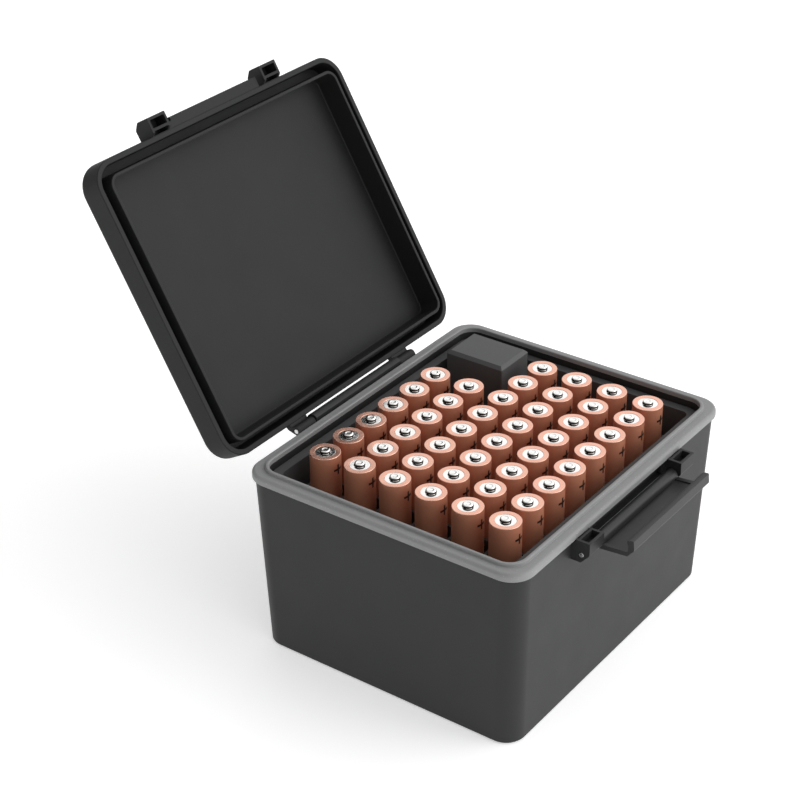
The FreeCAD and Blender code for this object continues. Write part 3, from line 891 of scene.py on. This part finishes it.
@dataclass
class CaseShell:
    """The moulded box, with its band, ribs, hinge barrel and latch brackets."""

    rim: Rim
    taper: float = 3.0
    foot: float = 1.0
    foot_flat: float = 4.0
    floor_flat: float = 6.0
    wall: float = 2.6
    floor: float = 2.5
    band: float = 8.35
    seal_fit: float = 0.05
    tongue_fit: float = 0.1
    rib: float = 2.0
    rib_spread_share: float = 0.55
    rib_low: float = 1.2
    rib_inset: float = 2.45
    rib_radius: float = 5.0
    tray_flange: float = 1.5
    recess_drop: float = 0.85
    recess_height: float = 6.5
    recess_depth: float = 2.6
    recess_end_gap: float = 1.0
    recess_wall: float = 1.4
    barrel_half: float = 33.8
    barrel_radius: float = 3.4
    barrel_web: float = 8.0
    bracket_height: float = 10.9
    bracket_slope: Point = (4.2, 4.8)
    core_depth: float = 3.9
    core_rear: float = 1.6

    def build(self, dresser: Dresser) -> None:
        """Makes and dresses the case's pieces."""
        dresser.dress(shaded(self.shell()), CASE_PLASTIC, Body.CASE.value, "case_body")
        dresser.dress(shaded(self.ribs()), CASE_PLASTIC, Body.CASE.value)
        dresser.dress(shaded(self.barrel()), CASE_PLASTIC, Body.CASE.value)
        inner = self.rim.bracket_inner
        for side, start in (("left", -inner - self.rim.bracket_width), ("right", inner)):
            dresser.dress(shaded(self.bracket(side, start)), CASE_PLASTIC, Body.CASE.value)

    def drawn_in(self, height: float) -> float:
        """How far the outside has drawn in at a height."""
        return (self.rim.bottom - height) * self.taper / self.rim.bottom

    def shell(self) -> Piece:
        """The box itself."""
        rim = self.rim
        foot = rim.body.shrunk(self.drawn_in(self.foot))
        base = rim.body.shrunk(self.drawn_in(0))
        shoulder_sheen = rim.top - self.band - (rim.body.half_x - self.wall - rim.opening.half_x)
        hollow = Plan(rim.body.half_x - self.wall, rim.body.half_y - self.wall, rim.body.radius - self.wall)
        floor = hollow.shrunk(self.drawn_in(self.floor))
        under_seal = rim.bottom - self.seal_fit
        tongue_top = rim.top - rim.tongue_drop - self.tongue_fit
        box = carried("case_shell", [
            Stop(base, -self.foot_flat, 0.0),
            Stop(base, -self.foot, 0.0, 0.3),
            Stop(foot, 0.0, self.foot, 0.6),
            Stop(rim.body, 0.0, under_seal, 0.3),
            Stop(rim.opening, rim.tongue, under_seal, 0.2),
            Stop(rim.opening, rim.tongue - self.seal_fit, tongue_top, 0.3),
            Stop(rim.opening, 0.0, tongue_top, 0.3),
            Stop(rim.opening, 0.0, rim.top - self.band, 0.8),
            Stop(hollow.shrunk(self.drawn_in(shoulder_sheen)), 0.0, shoulder_sheen, 0.8),
            Stop(floor, 0.0, self.floor, 2.0),
            Stop(floor, -self.floor_flat, self.floor),
        ])
        front = -rim.body.half_y
        high = rim.bottom - self.recess_drop
        low = high - self.recess_height
        end = rim.bracket_inner - self.recess_end_gap
        back = front + self.drawn_in(low) + self.recess_wall
        behind = block("behind", (-end - self.wall, back, low - self.wall),
                       (end + self.wall, self.tongue_fit - rim.opening.half_y,
                        rim.top - self.band - self.tongue_fit))
        recess = block("recess", (-end, front - PAST, low), (end, front + self.recess_depth, high))
        return cut(cut(box, [behind], union=True), [recess])

    def ribs(self) -> Piece:
        """The upright ribs that carry the tray."""
        rim = self.rim
        tray = corners("cell_tray")[1]
        reach = Plan(tray.x - self.rib_inset, tray.y - self.rib_inset, self.rib_radius)
        outer = rim.body.shrunk(self.drawn_in(self.floor) + self.wall / 2)
        low = self.rib_low
        top = tray.z - self.tray_flange
        half = self.rib / 2
        pieces = []
        for side in (1, -1):
            across = sorted((side * reach.half_x, side * outer.half_x))
            along = sorted((side * reach.half_y, side * outer.half_y))
            for other in (1, -1):
                y = other * rim.opening.half_y * self.rib_spread_share
                x = other * rim.opening.half_x * self.rib_spread_share
                pieces.append(block("rib", (across[0], y - half, low), (across[1], y + half, top)))
                pieces.append(block("rib", (x - half, along[0], low), (x + half, along[1], top)))
        return softened(joined("case_ribs", pieces), 0.3, 2)

    def barrel(self) -> Piece:
        """The case's long hinge barrel on its web, cut off where the seal stands."""
        y, z = self.rim.hinge
        half = self.barrel_half
        inside = self.rim.body.half_y - BITE
        top = self.rim.bottom - CLEAR
        seal_side = self.rim.seal.half_y + CLEAR
        web = [(inside, top - self.barrel_web), (y + self.barrel_radius, z), (y, z), (seal_side, top),
               (inside, top)]
        solid = extruded("hinge_barrel", web, -half, half)
        tube = extruded("round", circle(self.barrel_radius, (y, z), 56), -half, half)
        solid = cut(solid, [tube], union=True)
        beside = block("beside", (-half - PAST, inside, top), (half + PAST, seal_side, z + 6))
        return softened(cut(solid, [beside, bore(self.rim.case_bore, (y, z), -half, half)]), 0.25, 2)

    def bracket(self, side: str, start: float) -> Piece:
        """One latch bracket, open above in two cells and bored for the pin.

        Args:
            side: the side that names it.
            start: where it begins along X.

        Returns:
            The bracket.
        """
        rim = self.rim
        top = rim.bracket_top
        low = top - self.bracket_height
        front = rim.bracket_front
        inside = self.drawn_in(low) + BITE - rim.body.half_y
        seal_front = -rim.seal.half_y - CLEAR
        outline = rounded([
            (inside, rim.bottom - CLEAR),
            (seal_front, rim.bottom - CLEAR, 0.2),
            (seal_front, top, 0.3),
            (front, top, 0.4),
            (front, low + self.bracket_slope[1], 1.2),
            (front + self.bracket_slope[0], low, 1.2),
            (inside, low),
        ], 4)
        end = start + rim.bracket_width
        solid = extruded("latch_bracket_" + side, outline, start, end)
        cutters = cores(start, end, front, self.core_rear, top - self.core_depth, top + self.core_depth)
        cutters.append(bore(rim.case_bore, rim.pivot, start, end))
        return softened(cut(solid, cutters), 0.25, 2)


@dataclass
class RimSeal:
    """The pale ring that hooks over the case's edge."""

    rim: Rim
    lip: float = 0.4
    outer_round: float = 2.8
    bead_foot: float = 2.0
    bead: float = 1.7

    def build(self, dresser: Dresser) -> None:
        """Makes and dresses the seal."""
        rim = self.rim
        tongue_top = rim.top - rim.tongue_drop
        ring = carried("rim_seal_ring", [
            Stop(rim.opening, 0.0, tongue_top),
            Stop(rim.opening, rim.tongue, tongue_top),
            Stop(rim.opening, rim.tongue, rim.bottom),
            Stop(rim.seal, -self.lip, rim.bottom, 0.1),
            Stop(rim.seal, 0.0, rim.bottom + self.lip, 0.3),
            Stop(rim.seal, 0.0, rim.shelf, self.outer_round),
            Stop(rim.opening, self.bead_foot, rim.shelf, 0.25),
            Stop(rim.opening, self.bead, rim.top, 0.6),
            Stop(rim.opening, 0.0, rim.top, 0.6),
        ], closed=True, bend_steps=8)
        dresser.dress(shaded(ring, 50.0), SEAL_RUBBER, Body.CASE.value, "rim_seal")


@dataclass
class LidShell:
    """The lid, drawn shut and swung open: shell, latch towers, catch bar and hinge arms."""

    rim: Rim
    height: float = 13.0
    wall: float = 2.7
    plate: float = 2.0
    top_round: float = 2.55
    top_flat: float = 8.0
    panel_flat: float = 6.9
    ridge_side_gap: float = 1.1
    ridge_latch_gap: float = 1.85
    ridge_hinge_gap: float = 0.9
    ridge_radius: float = 6.0
    ridge_wall: float = 1.6
    ridge_below: float = 1.5
    edge_rise: float = 0.3
    edge_slope: float = 0.1
    catch_half: float = 31.0
    catch_step: float = 1.8
    catch_overlap: float = 0.5
    pocket_half: float = 33.8
    pocket_depth: float = 1.55
    pocket_height: float = 4.1
    tower_gap: float = 1.5
    tower_height: float = 10.4
    tower_slope: float = 3.2
    core_depth: float = 7.0
    core_rear: float = 1.8
    arm_outer: float = 46.3
    arm_inner: float = 34.2
    arm_rise: float = 5.7
    arm_step: float = 0.4
    arm_shoulder: Point = (1.7, 4.4)
    knuckle: float = 2.4
    lug_drop: float = 3.6

    def build(self, dresser: Dresser) -> None:
        """Makes and dresses the lid's pieces."""
        pieces = [self.shell(), self.catch_bar(), self.towers(), *self.arms()]
        for index, piece in enumerate(pieces):
            swung(shaded(piece), self.rim.hinge, self.rim.lid_turn)
            dresser.dress(piece, LID_PLASTIC, Body.LID.value, *(["lid_shell"] if index == 0 else []))

    def shell(self) -> Piece:
        """The plate with its outer skirt, its inner ridge and the hook's shallow pocket in its front."""
        lid = self.rim.lid
        plane = self.rim.lid_plane
        top = plane + self.height
        under = top - self.plate
        low = plane - self.ridge_below
        opening = self.rim.opening
        ridge = Plan(
            opening.half_x - self.ridge_side_gap,
            opening.half_y - (self.ridge_latch_gap + self.ridge_hinge_gap) / 2,
            self.ridge_radius,
            (self.ridge_latch_gap - self.ridge_hinge_gap) / 2,
        )
        plate = carried("lid_plate", [
            Stop(lid, -self.top_flat, top),
            Stop(lid, 0.0, top, self.top_round),
            Stop(lid, 0.0, plane, 0.5),
            Stop(lid, -self.wall, plane, 0.5),
            Stop(lid, -self.wall, under, 0.8),
            Stop(ridge, 0.0, under, 0.5),
            Stop(ridge, 0.0, low, 0.4),
            Stop(ridge, -self.ridge_wall, low, 0.4),
            Stop(ridge, -self.ridge_wall, under, 0.6),
            Stop(ridge, -self.panel_flat, under),
        ], bend_steps=6)
        sill = plane + self.rim.catch_height
        front = -lid.half_y
        pocket = block("pocket", (-self.pocket_half, front - PAST, sill),
                       (self.pocket_half, front + self.pocket_depth, sill + self.pocket_height))
        return cut(plate, [pocket])

    def catch_bar(self) -> Piece:
        """The bar between the towers, with the lower step that joins it to the left one."""
        rim = self.rim
        inside = BITE - rim.lid.half_y
        low = rim.lid_plane + self.edge_rise
        top = rim.lid_plane + rim.catch_height
        reach = -rim.lid.half_y - rim.catch_reach
        bar = block("catch_bar", (-self.catch_half, reach, low), (self.catch_half, inside, top))
        step = block("step", (-rim.bracket_inner - BITE, reach + self.catch_step, low),
                     (self.catch_overlap - self.catch_half, inside, top))
        return softened(cut(bar, [step], union=True), 0.35, 3)

    def towers(self) -> Piece:
        """The two cored towers above the brackets."""
        rim = self.rim
        low = rim.bracket_top + self.tower_gap
        high = low + self.tower_height
        front = rim.bracket_front
        inside = BITE - rim.lid.half_y
        outline = rounded([
            (inside, rim.lid_plane + self.edge_rise),
            (-rim.lid.half_y, rim.lid_plane + self.edge_slope, 0.2),
            (-rim.seal.half_y - CLEAR, low, 0.3),
            (front, low, 0.4),
            (front, high - self.tower_slope, 1.2),
            (front + self.tower_slope, high, 1.2),
            (inside, high),
        ], 4)
        pieces = []
        for start in (-rim.bracket_inner - rim.bracket_width, rim.bracket_inner):
            end = start + rim.bracket_width
            solid = extruded("tower", outline, start, end)
            cutters = cores(start, end, front, self.core_rear, low - PAST, low + self.core_depth)
            pieces.append(softened(cut(solid, cutters), 0.25, 2))
        return joined("lid_towers", pieces)

    def arms(self) -> list[Piece]:
        """The two knuckles with their arms and stop lugs."""
        rim = self.rim
        y, z = rim.hinge
        radius = self.knuckle
        inside = rim.lid.half_y - BITE
        arm = rounded([
            (inside, rim.lid_plane + self.edge_rise),
            (y - radius, rim.lid_plane + self.edge_slope, 0.3),
            (y - radius, z - radius, radius),
            (y + radius, z - radius, radius),
            (y + radius, z + self.arm_step, 1.4),
            (y - self.arm_shoulder[0], z + self.arm_shoulder[1], 0.8),
            (inside, z + self.arm_rise),
        ], 7)
        face = rim.body.half_y + CLEAR
        top = rim.bottom - CLEAR
        lug = rounded([
            (face, top, 0.3),
            (face, top - self.lug_drop, 0.3),
            (y, z - radius, 1.0),
            (y + radius / 2, z, 0.3),
            (y - radius / 2, z - radius / 2, 0.3),
            (y - radius / 2 - CLEAR, top, 0.3),
        ], 4)
        arms = []
        width = self.arm_outer - self.arm_inner
        for side, low in (("left", -self.arm_outer), ("right", self.arm_inner)):
            high = low + width
            solid = extruded("knuckle_" + side, arm, low, high)
            stop = swung(extruded("stop", lug, low, high), rim.hinge, -rim.lid_turn)
            solid = cut(solid, [stop], union=True)
            arms.append(softened(cut(solid, [bore(rim.moving_bore, rim.hinge, low, high)]), 0.22, 2))
        return arms


@dataclass
class Latch:
    """The latch flap, drawn shut and tipped out, and the two steel pins."""

    rim: Rim
    half: float = 33.6
    barrel: float = 3.1
    plate: float = 1.6
    plate_gap: float = 0.6
    lip: float = 3.4
    lip_slope: float = 3.6
    lip_dip: float = 0.5
    hook_bite: float = 1.15
    hook_tip: float = 1.8
    cheek: float = 2.2
    pin: float = 1.25
    latch_pin_half: float = 46.0
    hinge_pin_half: float = 46.3

    def build(self, dresser: Dresser) -> None:
        """Makes and dresses the latch and both pins."""
        rim = self.rim
        flap = swung(shaded(self.flap()), rim.pivot, rim.latch_turn)
        dresser.dress(flap, LATCH_PLASTIC, Body.LATCH.value, "latch_flap")
        wires = (("latch_pin", self.latch_pin_half, rim.pivot), ("hinge_pin", self.hinge_pin_half, rim.hinge))
        for name, half, place in wires:
            wire = extruded(name + "_wire", circle(self.pin, place), -half, half)
            dresser.dress(shaded(softened(wire, 0.25, 3)), PIN_STEEL, Body.CASE.value, name)

    def flap(self) -> Piece:
        """The flap: a barrel, a plate with end cheeks and a hooked lip."""
        rim = self.rim
        y, z = rim.pivot
        front = -rim.lid.half_y
        inner = front - rim.catch_reach - self.plate_gap
        outer = inner - self.plate
        low = rim.lid_plane + rim.catch_height + CLEAR
        top = low + self.lip
        hook = front + self.hook_bite
        profile = rounded([
            (outer, z),
            (outer, top - self.lip_slope, 1.2),
            (outer + self.lip_slope, top, 1.2),
            (hook, top, 0.4),
            (hook, top - self.hook_tip, 0.3),
            (hook - self.lip_dip, low, 0.3),
            ((inner + hook) / 2, low + self.lip_dip, 0.5),
            (inner, low, 0.5),
            (inner, z),
        ], 5)
        cheek = rounded([
            (outer, z),
            (outer, low, 0.5),
            (outer + self.cheek, low + self.lip_dip, 0.5),
            (outer + self.cheek, z),
        ], 4)
        half = self.half
        plate = extruded("latch_flap_shell", profile, -half, half)
        parts = [extruded("barrel", circle(self.barrel, (y, z), 48), -half, half)]
        for start in (-half, half - self.cheek):
            parts.append(extruded("cheek", cheek, start, start + self.cheek))
        plate = cut(plate, parts, union=True)
        return softened(cut(plate, [bore(rim.moving_bore, (y, z), -half, half)]), 0.3, 3)


@dataclass
class Cells:
    """The rows of cells. A tree of nodes sets copies of one can, one sleeve and one washer along each row."""

    rows: int = 6
    pitch: float = 17.4
    radius: float = 7.25
    sleeve: float = 0.3
    sleeve_drop: float = 1.75
    sleeve_rise: float = 0.5
    sleeve_fit: float = 0.02
    fit: float = 0.05
    dish: float = 4.0
    dish_slope: float = 0.4
    dish_depth: float = 0.3
    face: float = 4.6
    face_drop: float = 1.35
    nub: float = 2.4
    nub_slope: float = 0.15
    nub_dish: Point = (0.9, 1.4)
    nub_dish_depth: float = 0.15
    vent_reach: float = 0.6
    vent_width: float = 1.1
    vent_height: float = 0.75
    washer_inner: float = 4.7
    washer_drop: float = 1.2
    washer_height: float = 0.55

    def build(self, dresser: Dresser) -> None:
        """Makes and dresses every row."""
        low, high = corners("row_1_cans")
        self.bottom, self.top = low.z, high.z
        masters = {"cans": self.can(), "sleeves": self.sleeve_piece(), "washers": self.washer()}
        finishes = {"cans": CELL_STEEL, "sleeves": CELL_PRINT, "washers": CELL_PRINT}
        tree = self.tree()
        for row in range(1, self.rows + 1):
            for kind, master in masters.items():
                node = f"row_{row}_{kind}"
                piece = self.row(tree, node, kind, master, dresser.material(finishes[kind]))
                dresser.dress(piece, finishes[kind], f"row_{row}", node)
        for master in masters.values():
            bpy.data.objects.remove(master)

    def can(self) -> Piece:
        """The steel can, with a dished end and a raised nub."""
        radius = self.radius - self.sleeve - self.fit
        top = self.top
        bottom = self.bottom
        face = top - self.face_drop
        profile = rounded([
            (0.0, bottom + self.dish_depth),
            (self.dish - self.dish_slope, bottom + self.dish_depth, 0.3),
            (self.dish, bottom, 0.4),
            (radius, bottom, 0.9),
            (radius, top - self.sleeve_drop, 0.5),
            (self.face, face, 0.4),
            (self.nub + self.nub_slope, face, 0.2),
            (self.nub, top, 0.55),
            (self.nub_dish[1], top, 0.3),
            (self.nub_dish[0], top - self.nub_dish_depth, 0.3),
            (0.0, top - self.nub_dish_depth),
        ], 5)
        reach = self.nub + self.vent_reach
        half = self.vent_width / 2
        cutters = []
        for along, across in ((reach, half), (half, reach)):
            cutters.append(block("vent", (-along, -across, face), (along, across, face + self.vent_height)))
        return shaded(cut(turned("can", profile, top, 56), cutters), 60.0)

    def sleeve_piece(self) -> Piece:
        """The printed sleeve."""
        inner = self.radius - self.sleeve + self.sleeve_fit
        low = self.bottom + self.sleeve_rise
        high = self.top - self.sleeve_drop
        profile = rounded([(inner, low), (self.radius, low, 0.2), (self.radius, high), (inner, high)], 4)
        return shaded(turned("sleeve", profile, self.top, 72), 60.0)

    def washer(self) -> Piece:
        """The ring on the positive end, where the sleeve turns over the can's shoulder."""
        high = self.top - self.washer_drop
        low = high - self.washer_height
        profile = rounded([
            (self.washer_inner, low + 2 * self.fit),
            (self.radius, low),
            (self.radius, high, 0.5),
            (self.washer_inner, high - self.fit, 0.15),
        ], 5)
        return shaded(turned("washer", profile, self.top, 72), 60.0)

    def tree(self) -> bpy.types.NodeTree:
        """The tree that sets copies of a piece along a line."""
        tree = bpy.data.node_groups.new("row_of_cells", "GeometryNodeTree")
        sockets = (("Geometry", "Geometry"), ("Piece", "Object"), ("Count", "Int"), ("Start", "Vector"),
                   ("Pitch", "Vector"), ("Finish", "Material"))
        for name, kind in sockets:
            tree.interface.new_socket(name, in_out="INPUT", socket_type="NodeSocket" + kind)
        tree.interface.new_socket("Geometry", in_out="OUTPUT", socket_type="NodeSocketGeometry")
        kinds = ("NodeGroupInput", "GeometryNodeMeshLine", "GeometryNodeObjectInfo",
                 "GeometryNodeInstanceOnPoints", "GeometryNodeRealizeInstances", "GeometryNodeSetMaterial",
                 "NodeGroupOutput")
        given, line, source, copies, real, coat, out = (tree.nodes.new(kind) for kind in kinds)
        for start, output, end, target in (
            (given, "Count", line, "Count"),
            (given, "Start", line, "Start Location"),
            (given, "Pitch", line, "Offset"),
            (given, "Piece", source, "Object"),
            (line, "Mesh", copies, "Points"),
            (source, "Geometry", copies, "Instance"),
            (copies, "Instances", real, "Geometry"),
            (real, "Geometry", coat, "Geometry"),
            (given, "Finish", coat, "Material"),
            (coat, "Geometry", out, "Geometry"),
        ):
            tree.links.new(start.outputs[output], end.inputs[target])
        return tree

    def row(self, tree: bpy.types.NodeTree, node: str, kind: str, master: Piece,
            material: bpy.types.Material) -> Piece:
        """Makes one row's pieces of one kind.

        Args:
            tree: the tree that sets the copies.
            node: the node that the row stands for.
            kind: the kind of piece.
            master: the piece that is copied.
            material: its material.

        Returns:
            The row as one plain mesh.
        """
        low, high = corners(node)
        radius = (high.y - low.y) / 2
        length = high.x - low.x - 2 * radius
        count = round(length / self.pitch) + 1
        start = Vector((low.x + radius, (low.y + high.y) / 2, 0)) * MM
        piece = mesh_object(node.replace(kind, "cell_" + kind), [(0, 0, 0)], [])
        setter = piece.modifiers.new("row", "NODES")
        setter.node_group = tree
        values = {"Piece": master, "Count": count, "Start": start, "Finish": material,
                  "Pitch": Vector((length / (count - 1) * MM, 0, 0))}
        for item in tree.interface.items_tree:
            if item.name in values:
                setter[item.identifier] = values[item.name]
        return settle(piece)


@dataclass
class CornerBlock:
    """The bevelled block in the back corner of the tray."""

    radius: float = 0.7
    bevel: float = 1.6
    bevel_step: float = 0.6
    side_step: float = 0.7
    wall: float = 1.6
    middle: float = 6.0

    def build(self, dresser: Dresser) -> None:
        """Makes and dresses the block."""
        low, high = corners("corner_block")
        half = (high - low) / 2
        centre = (low + high) / 2
        plan = Plan(half.x, half.y, self.radius, centre.y, centre.x)
        inside = high.z - self.bevel - self.wall
        piece = carried("corner_block_shell", [
            Stop(plan, -self.middle, high.z),
            Stop(plan, -self.bevel - self.bevel_step, high.z),
            Stop(plan, -self.bevel, high.z, 0.25),
            Stop(plan, 0.0, high.z - self.bevel, 0.25),
            Stop(plan, 0.0, high.z - self.bevel - self.side_step),
            Stop(plan, 0.0, low.z, 0.2),
            Stop(plan, -self.wall, low.z, 0.2),
            Stop(plan, -self.wall, inside, 0.5),
            Stop(plan, -self.middle, inside),
        ], corner_steps=5, bend_steps=3)
        dresser.dress(shaded(piece, 30.0), BLOCK_PLASTIC, Body.BLOCK.value, "corner_block")


@dataclass
class Studio:
    """A pale floor, soft lights and the photograph's camera."""

    azimuth: float = -53.857
    elevation: float = 30.147
    roll: float = -0.568
    lens: float = 90.88
    sensor: float = 36.0
    sight: Point = (0.01, 50.0)
    scale: float = 1.0211
    shift: tuple[float, float, float] = (40.515, -12.087, 913.94)
    aim_height: float = 100.0
    lamp_place: tuple[float, float, float] = (0.9, -1.7, 1.3)
    lamp_size: float = 1.4
    lamp_power: float = 8.0
    floor_half: float = 20000.0
    floor_tone: Colour = (0.9, 0.9, 0.9)
    floor_glow: float = 0.42
    sky_glow: float = 0.12
    backdrop: float = 1.0
    sky_patches: tuple[tuple[tuple[float, float, float], float, float], ...] = (
        ((0.15, -1.0, 0.25), 3.0, 1.75),
        ((-1.0, -0.15, 0.3), 3.0, 0.14),
        ((0.0, 0.0, 1.0), 2.0, 0.38),
        ((-0.2, 1.0, 0.5), 3.0, 0.2),
        ((1.0, -0.2, 0.5), 3.0, 1.0),
        ((0.7, 0.5, 0.5), 12.0, 0.4),
    )

    def build(self) -> None:
        """Sets the stage."""
        self.floor()
        self.sky()
        self.lamp()
        self.camera()

    def floor(self) -> None:
        """The pale floor."""
        half = self.floor_half
        edge = [(-half, -half, 0), (half, -half, 0), (half, half, 0), (-half, half, 0)]
        floor = mesh_object("studio_floor", edge, [(0, 1, 2, 3)])
        shader = Shader("studio_floor")
        shader.finish(Base_Color=self.floor_tone, Roughness=0.9, Specular_IOR_Level=0.1)
        material = shader.finish(Emission_Color=(1.0, 1.0, 1.0), Emission_Strength=self.floor_glow)
        floor.data.materials.append(material)

    def sky(self) -> None:
        """A white sky: a faint even glow, a few wide soft patches of light and a white backdrop."""
        world = bpy.data.worlds.new("studio_sky")
        world.use_nodes = True
        nodes = Nodes(world.node_tree)
        glow = nodes.tree.nodes["Background"]
        glow.inputs["Color"].default_value = (1.0, 1.0, 1.0, 1.0)
        place = nodes.add("ShaderNodeTexCoord").outputs["Generated"]
        total: object = self.sky_glow
        for aim, tightness, strength in self.sky_patches:
            facing = nodes.add("ShaderNodeVectorMath", operation="DOT_PRODUCT")
            nodes.join(place, facing.inputs[0])
            nodes.join(Vector(aim).normalized(), facing.inputs[1])
            patch = nodes.sum("MAXIMUM", facing.outputs["Value"], 0.0)
            patch = nodes.sum("MULTIPLY", nodes.sum("POWER", patch, tightness), strength)
            total = nodes.sum("ADD", patch, total)
        seen = nodes.add("ShaderNodeLightPath").outputs["Is Camera Ray"]
        total = nodes.sum("ADD", nodes.sum("MULTIPLY", seen, self.backdrop), total)
        nodes.join(total, glow.inputs["Strength"])
        bpy.context.scene.world = world

    def lamp(self) -> None:
        """One soft light, aimed at the case."""
        data = bpy.data.lights.new("key", "AREA")
        data.size = self.lamp_size
        data.energy = self.lamp_power
        lamp = bpy.data.objects.new("key", data)
        lamp.location = self.lamp_place
        aim = Vector((0, 0, self.aim_height * MM)) - Vector(self.lamp_place)
        lamp.rotation_euler = aim.to_track_quat("-Z", "Y").to_euler()
        bpy.context.scene.collection.objects.link(lamp)

    def camera(self) -> None:
        """The camera at the photograph's place and angle."""
        turn, lift, roll = (math.radians(value) for value in (self.azimuth, self.elevation, self.roll))
        back = Vector((math.sin(turn) * math.cos(lift), -math.cos(turn) * math.cos(lift), math.sin(lift)))
        level = Vector((0, 0, 1)).cross(back).normalized()
        upright = back.cross(level)
        right = level * math.cos(roll) + upright * math.sin(roll)
        up = upright * math.cos(roll) - level * math.sin(roll)
        along, above, away = self.shift
        place = (-along * right - above * up + away * back) * self.scale
        place.z += self.aim_height
        data = bpy.data.cameras.new("photo_camera")
        data.lens = self.lens
        data.sensor_width = self.sensor
        data.clip_start, data.clip_end = self.sight
        camera = bpy.data.objects.new("photo_camera", data)
        camera.matrix_world = Matrix.Translation(place * MM) @ Matrix((right, up, back)).transposed().to_4x4()
        bpy.context.scene.collection.objects.link(camera)
        bpy.context.scene.camera = camera


def dress_tray(dresser: Dresser) -> None:
    """Gives the tray and its slats, whose solids are right as they are, their finish."""
    for name, node in frame["nodes"].items():
        if name == "cell_tray" or "_slat_" in name:
            node.data.materials.clear()
            node.data.materials.append(dresser.material(TRAY_PLASTIC))


def main() -> None:
    """Builds every piece around the frame, then the stage."""
    logging.basicConfig(level=logging.INFO, format="%(message)s")
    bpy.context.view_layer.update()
    bpy.context.scene.view_settings.view_transform = "Standard"
    dresser = Dresser()
    rim = Rim()
    CaseShell(rim).build(dresser)
    RimSeal(rim).build(dresser)
    LidShell(rim).build(dresser)
    Latch(rim).build(dresser)
    dress_tray(dresser)
    Cells().build(dresser)
    CornerBlock().build(dresser)
    Studio().build()


if __name__ == "__main__":
    main()
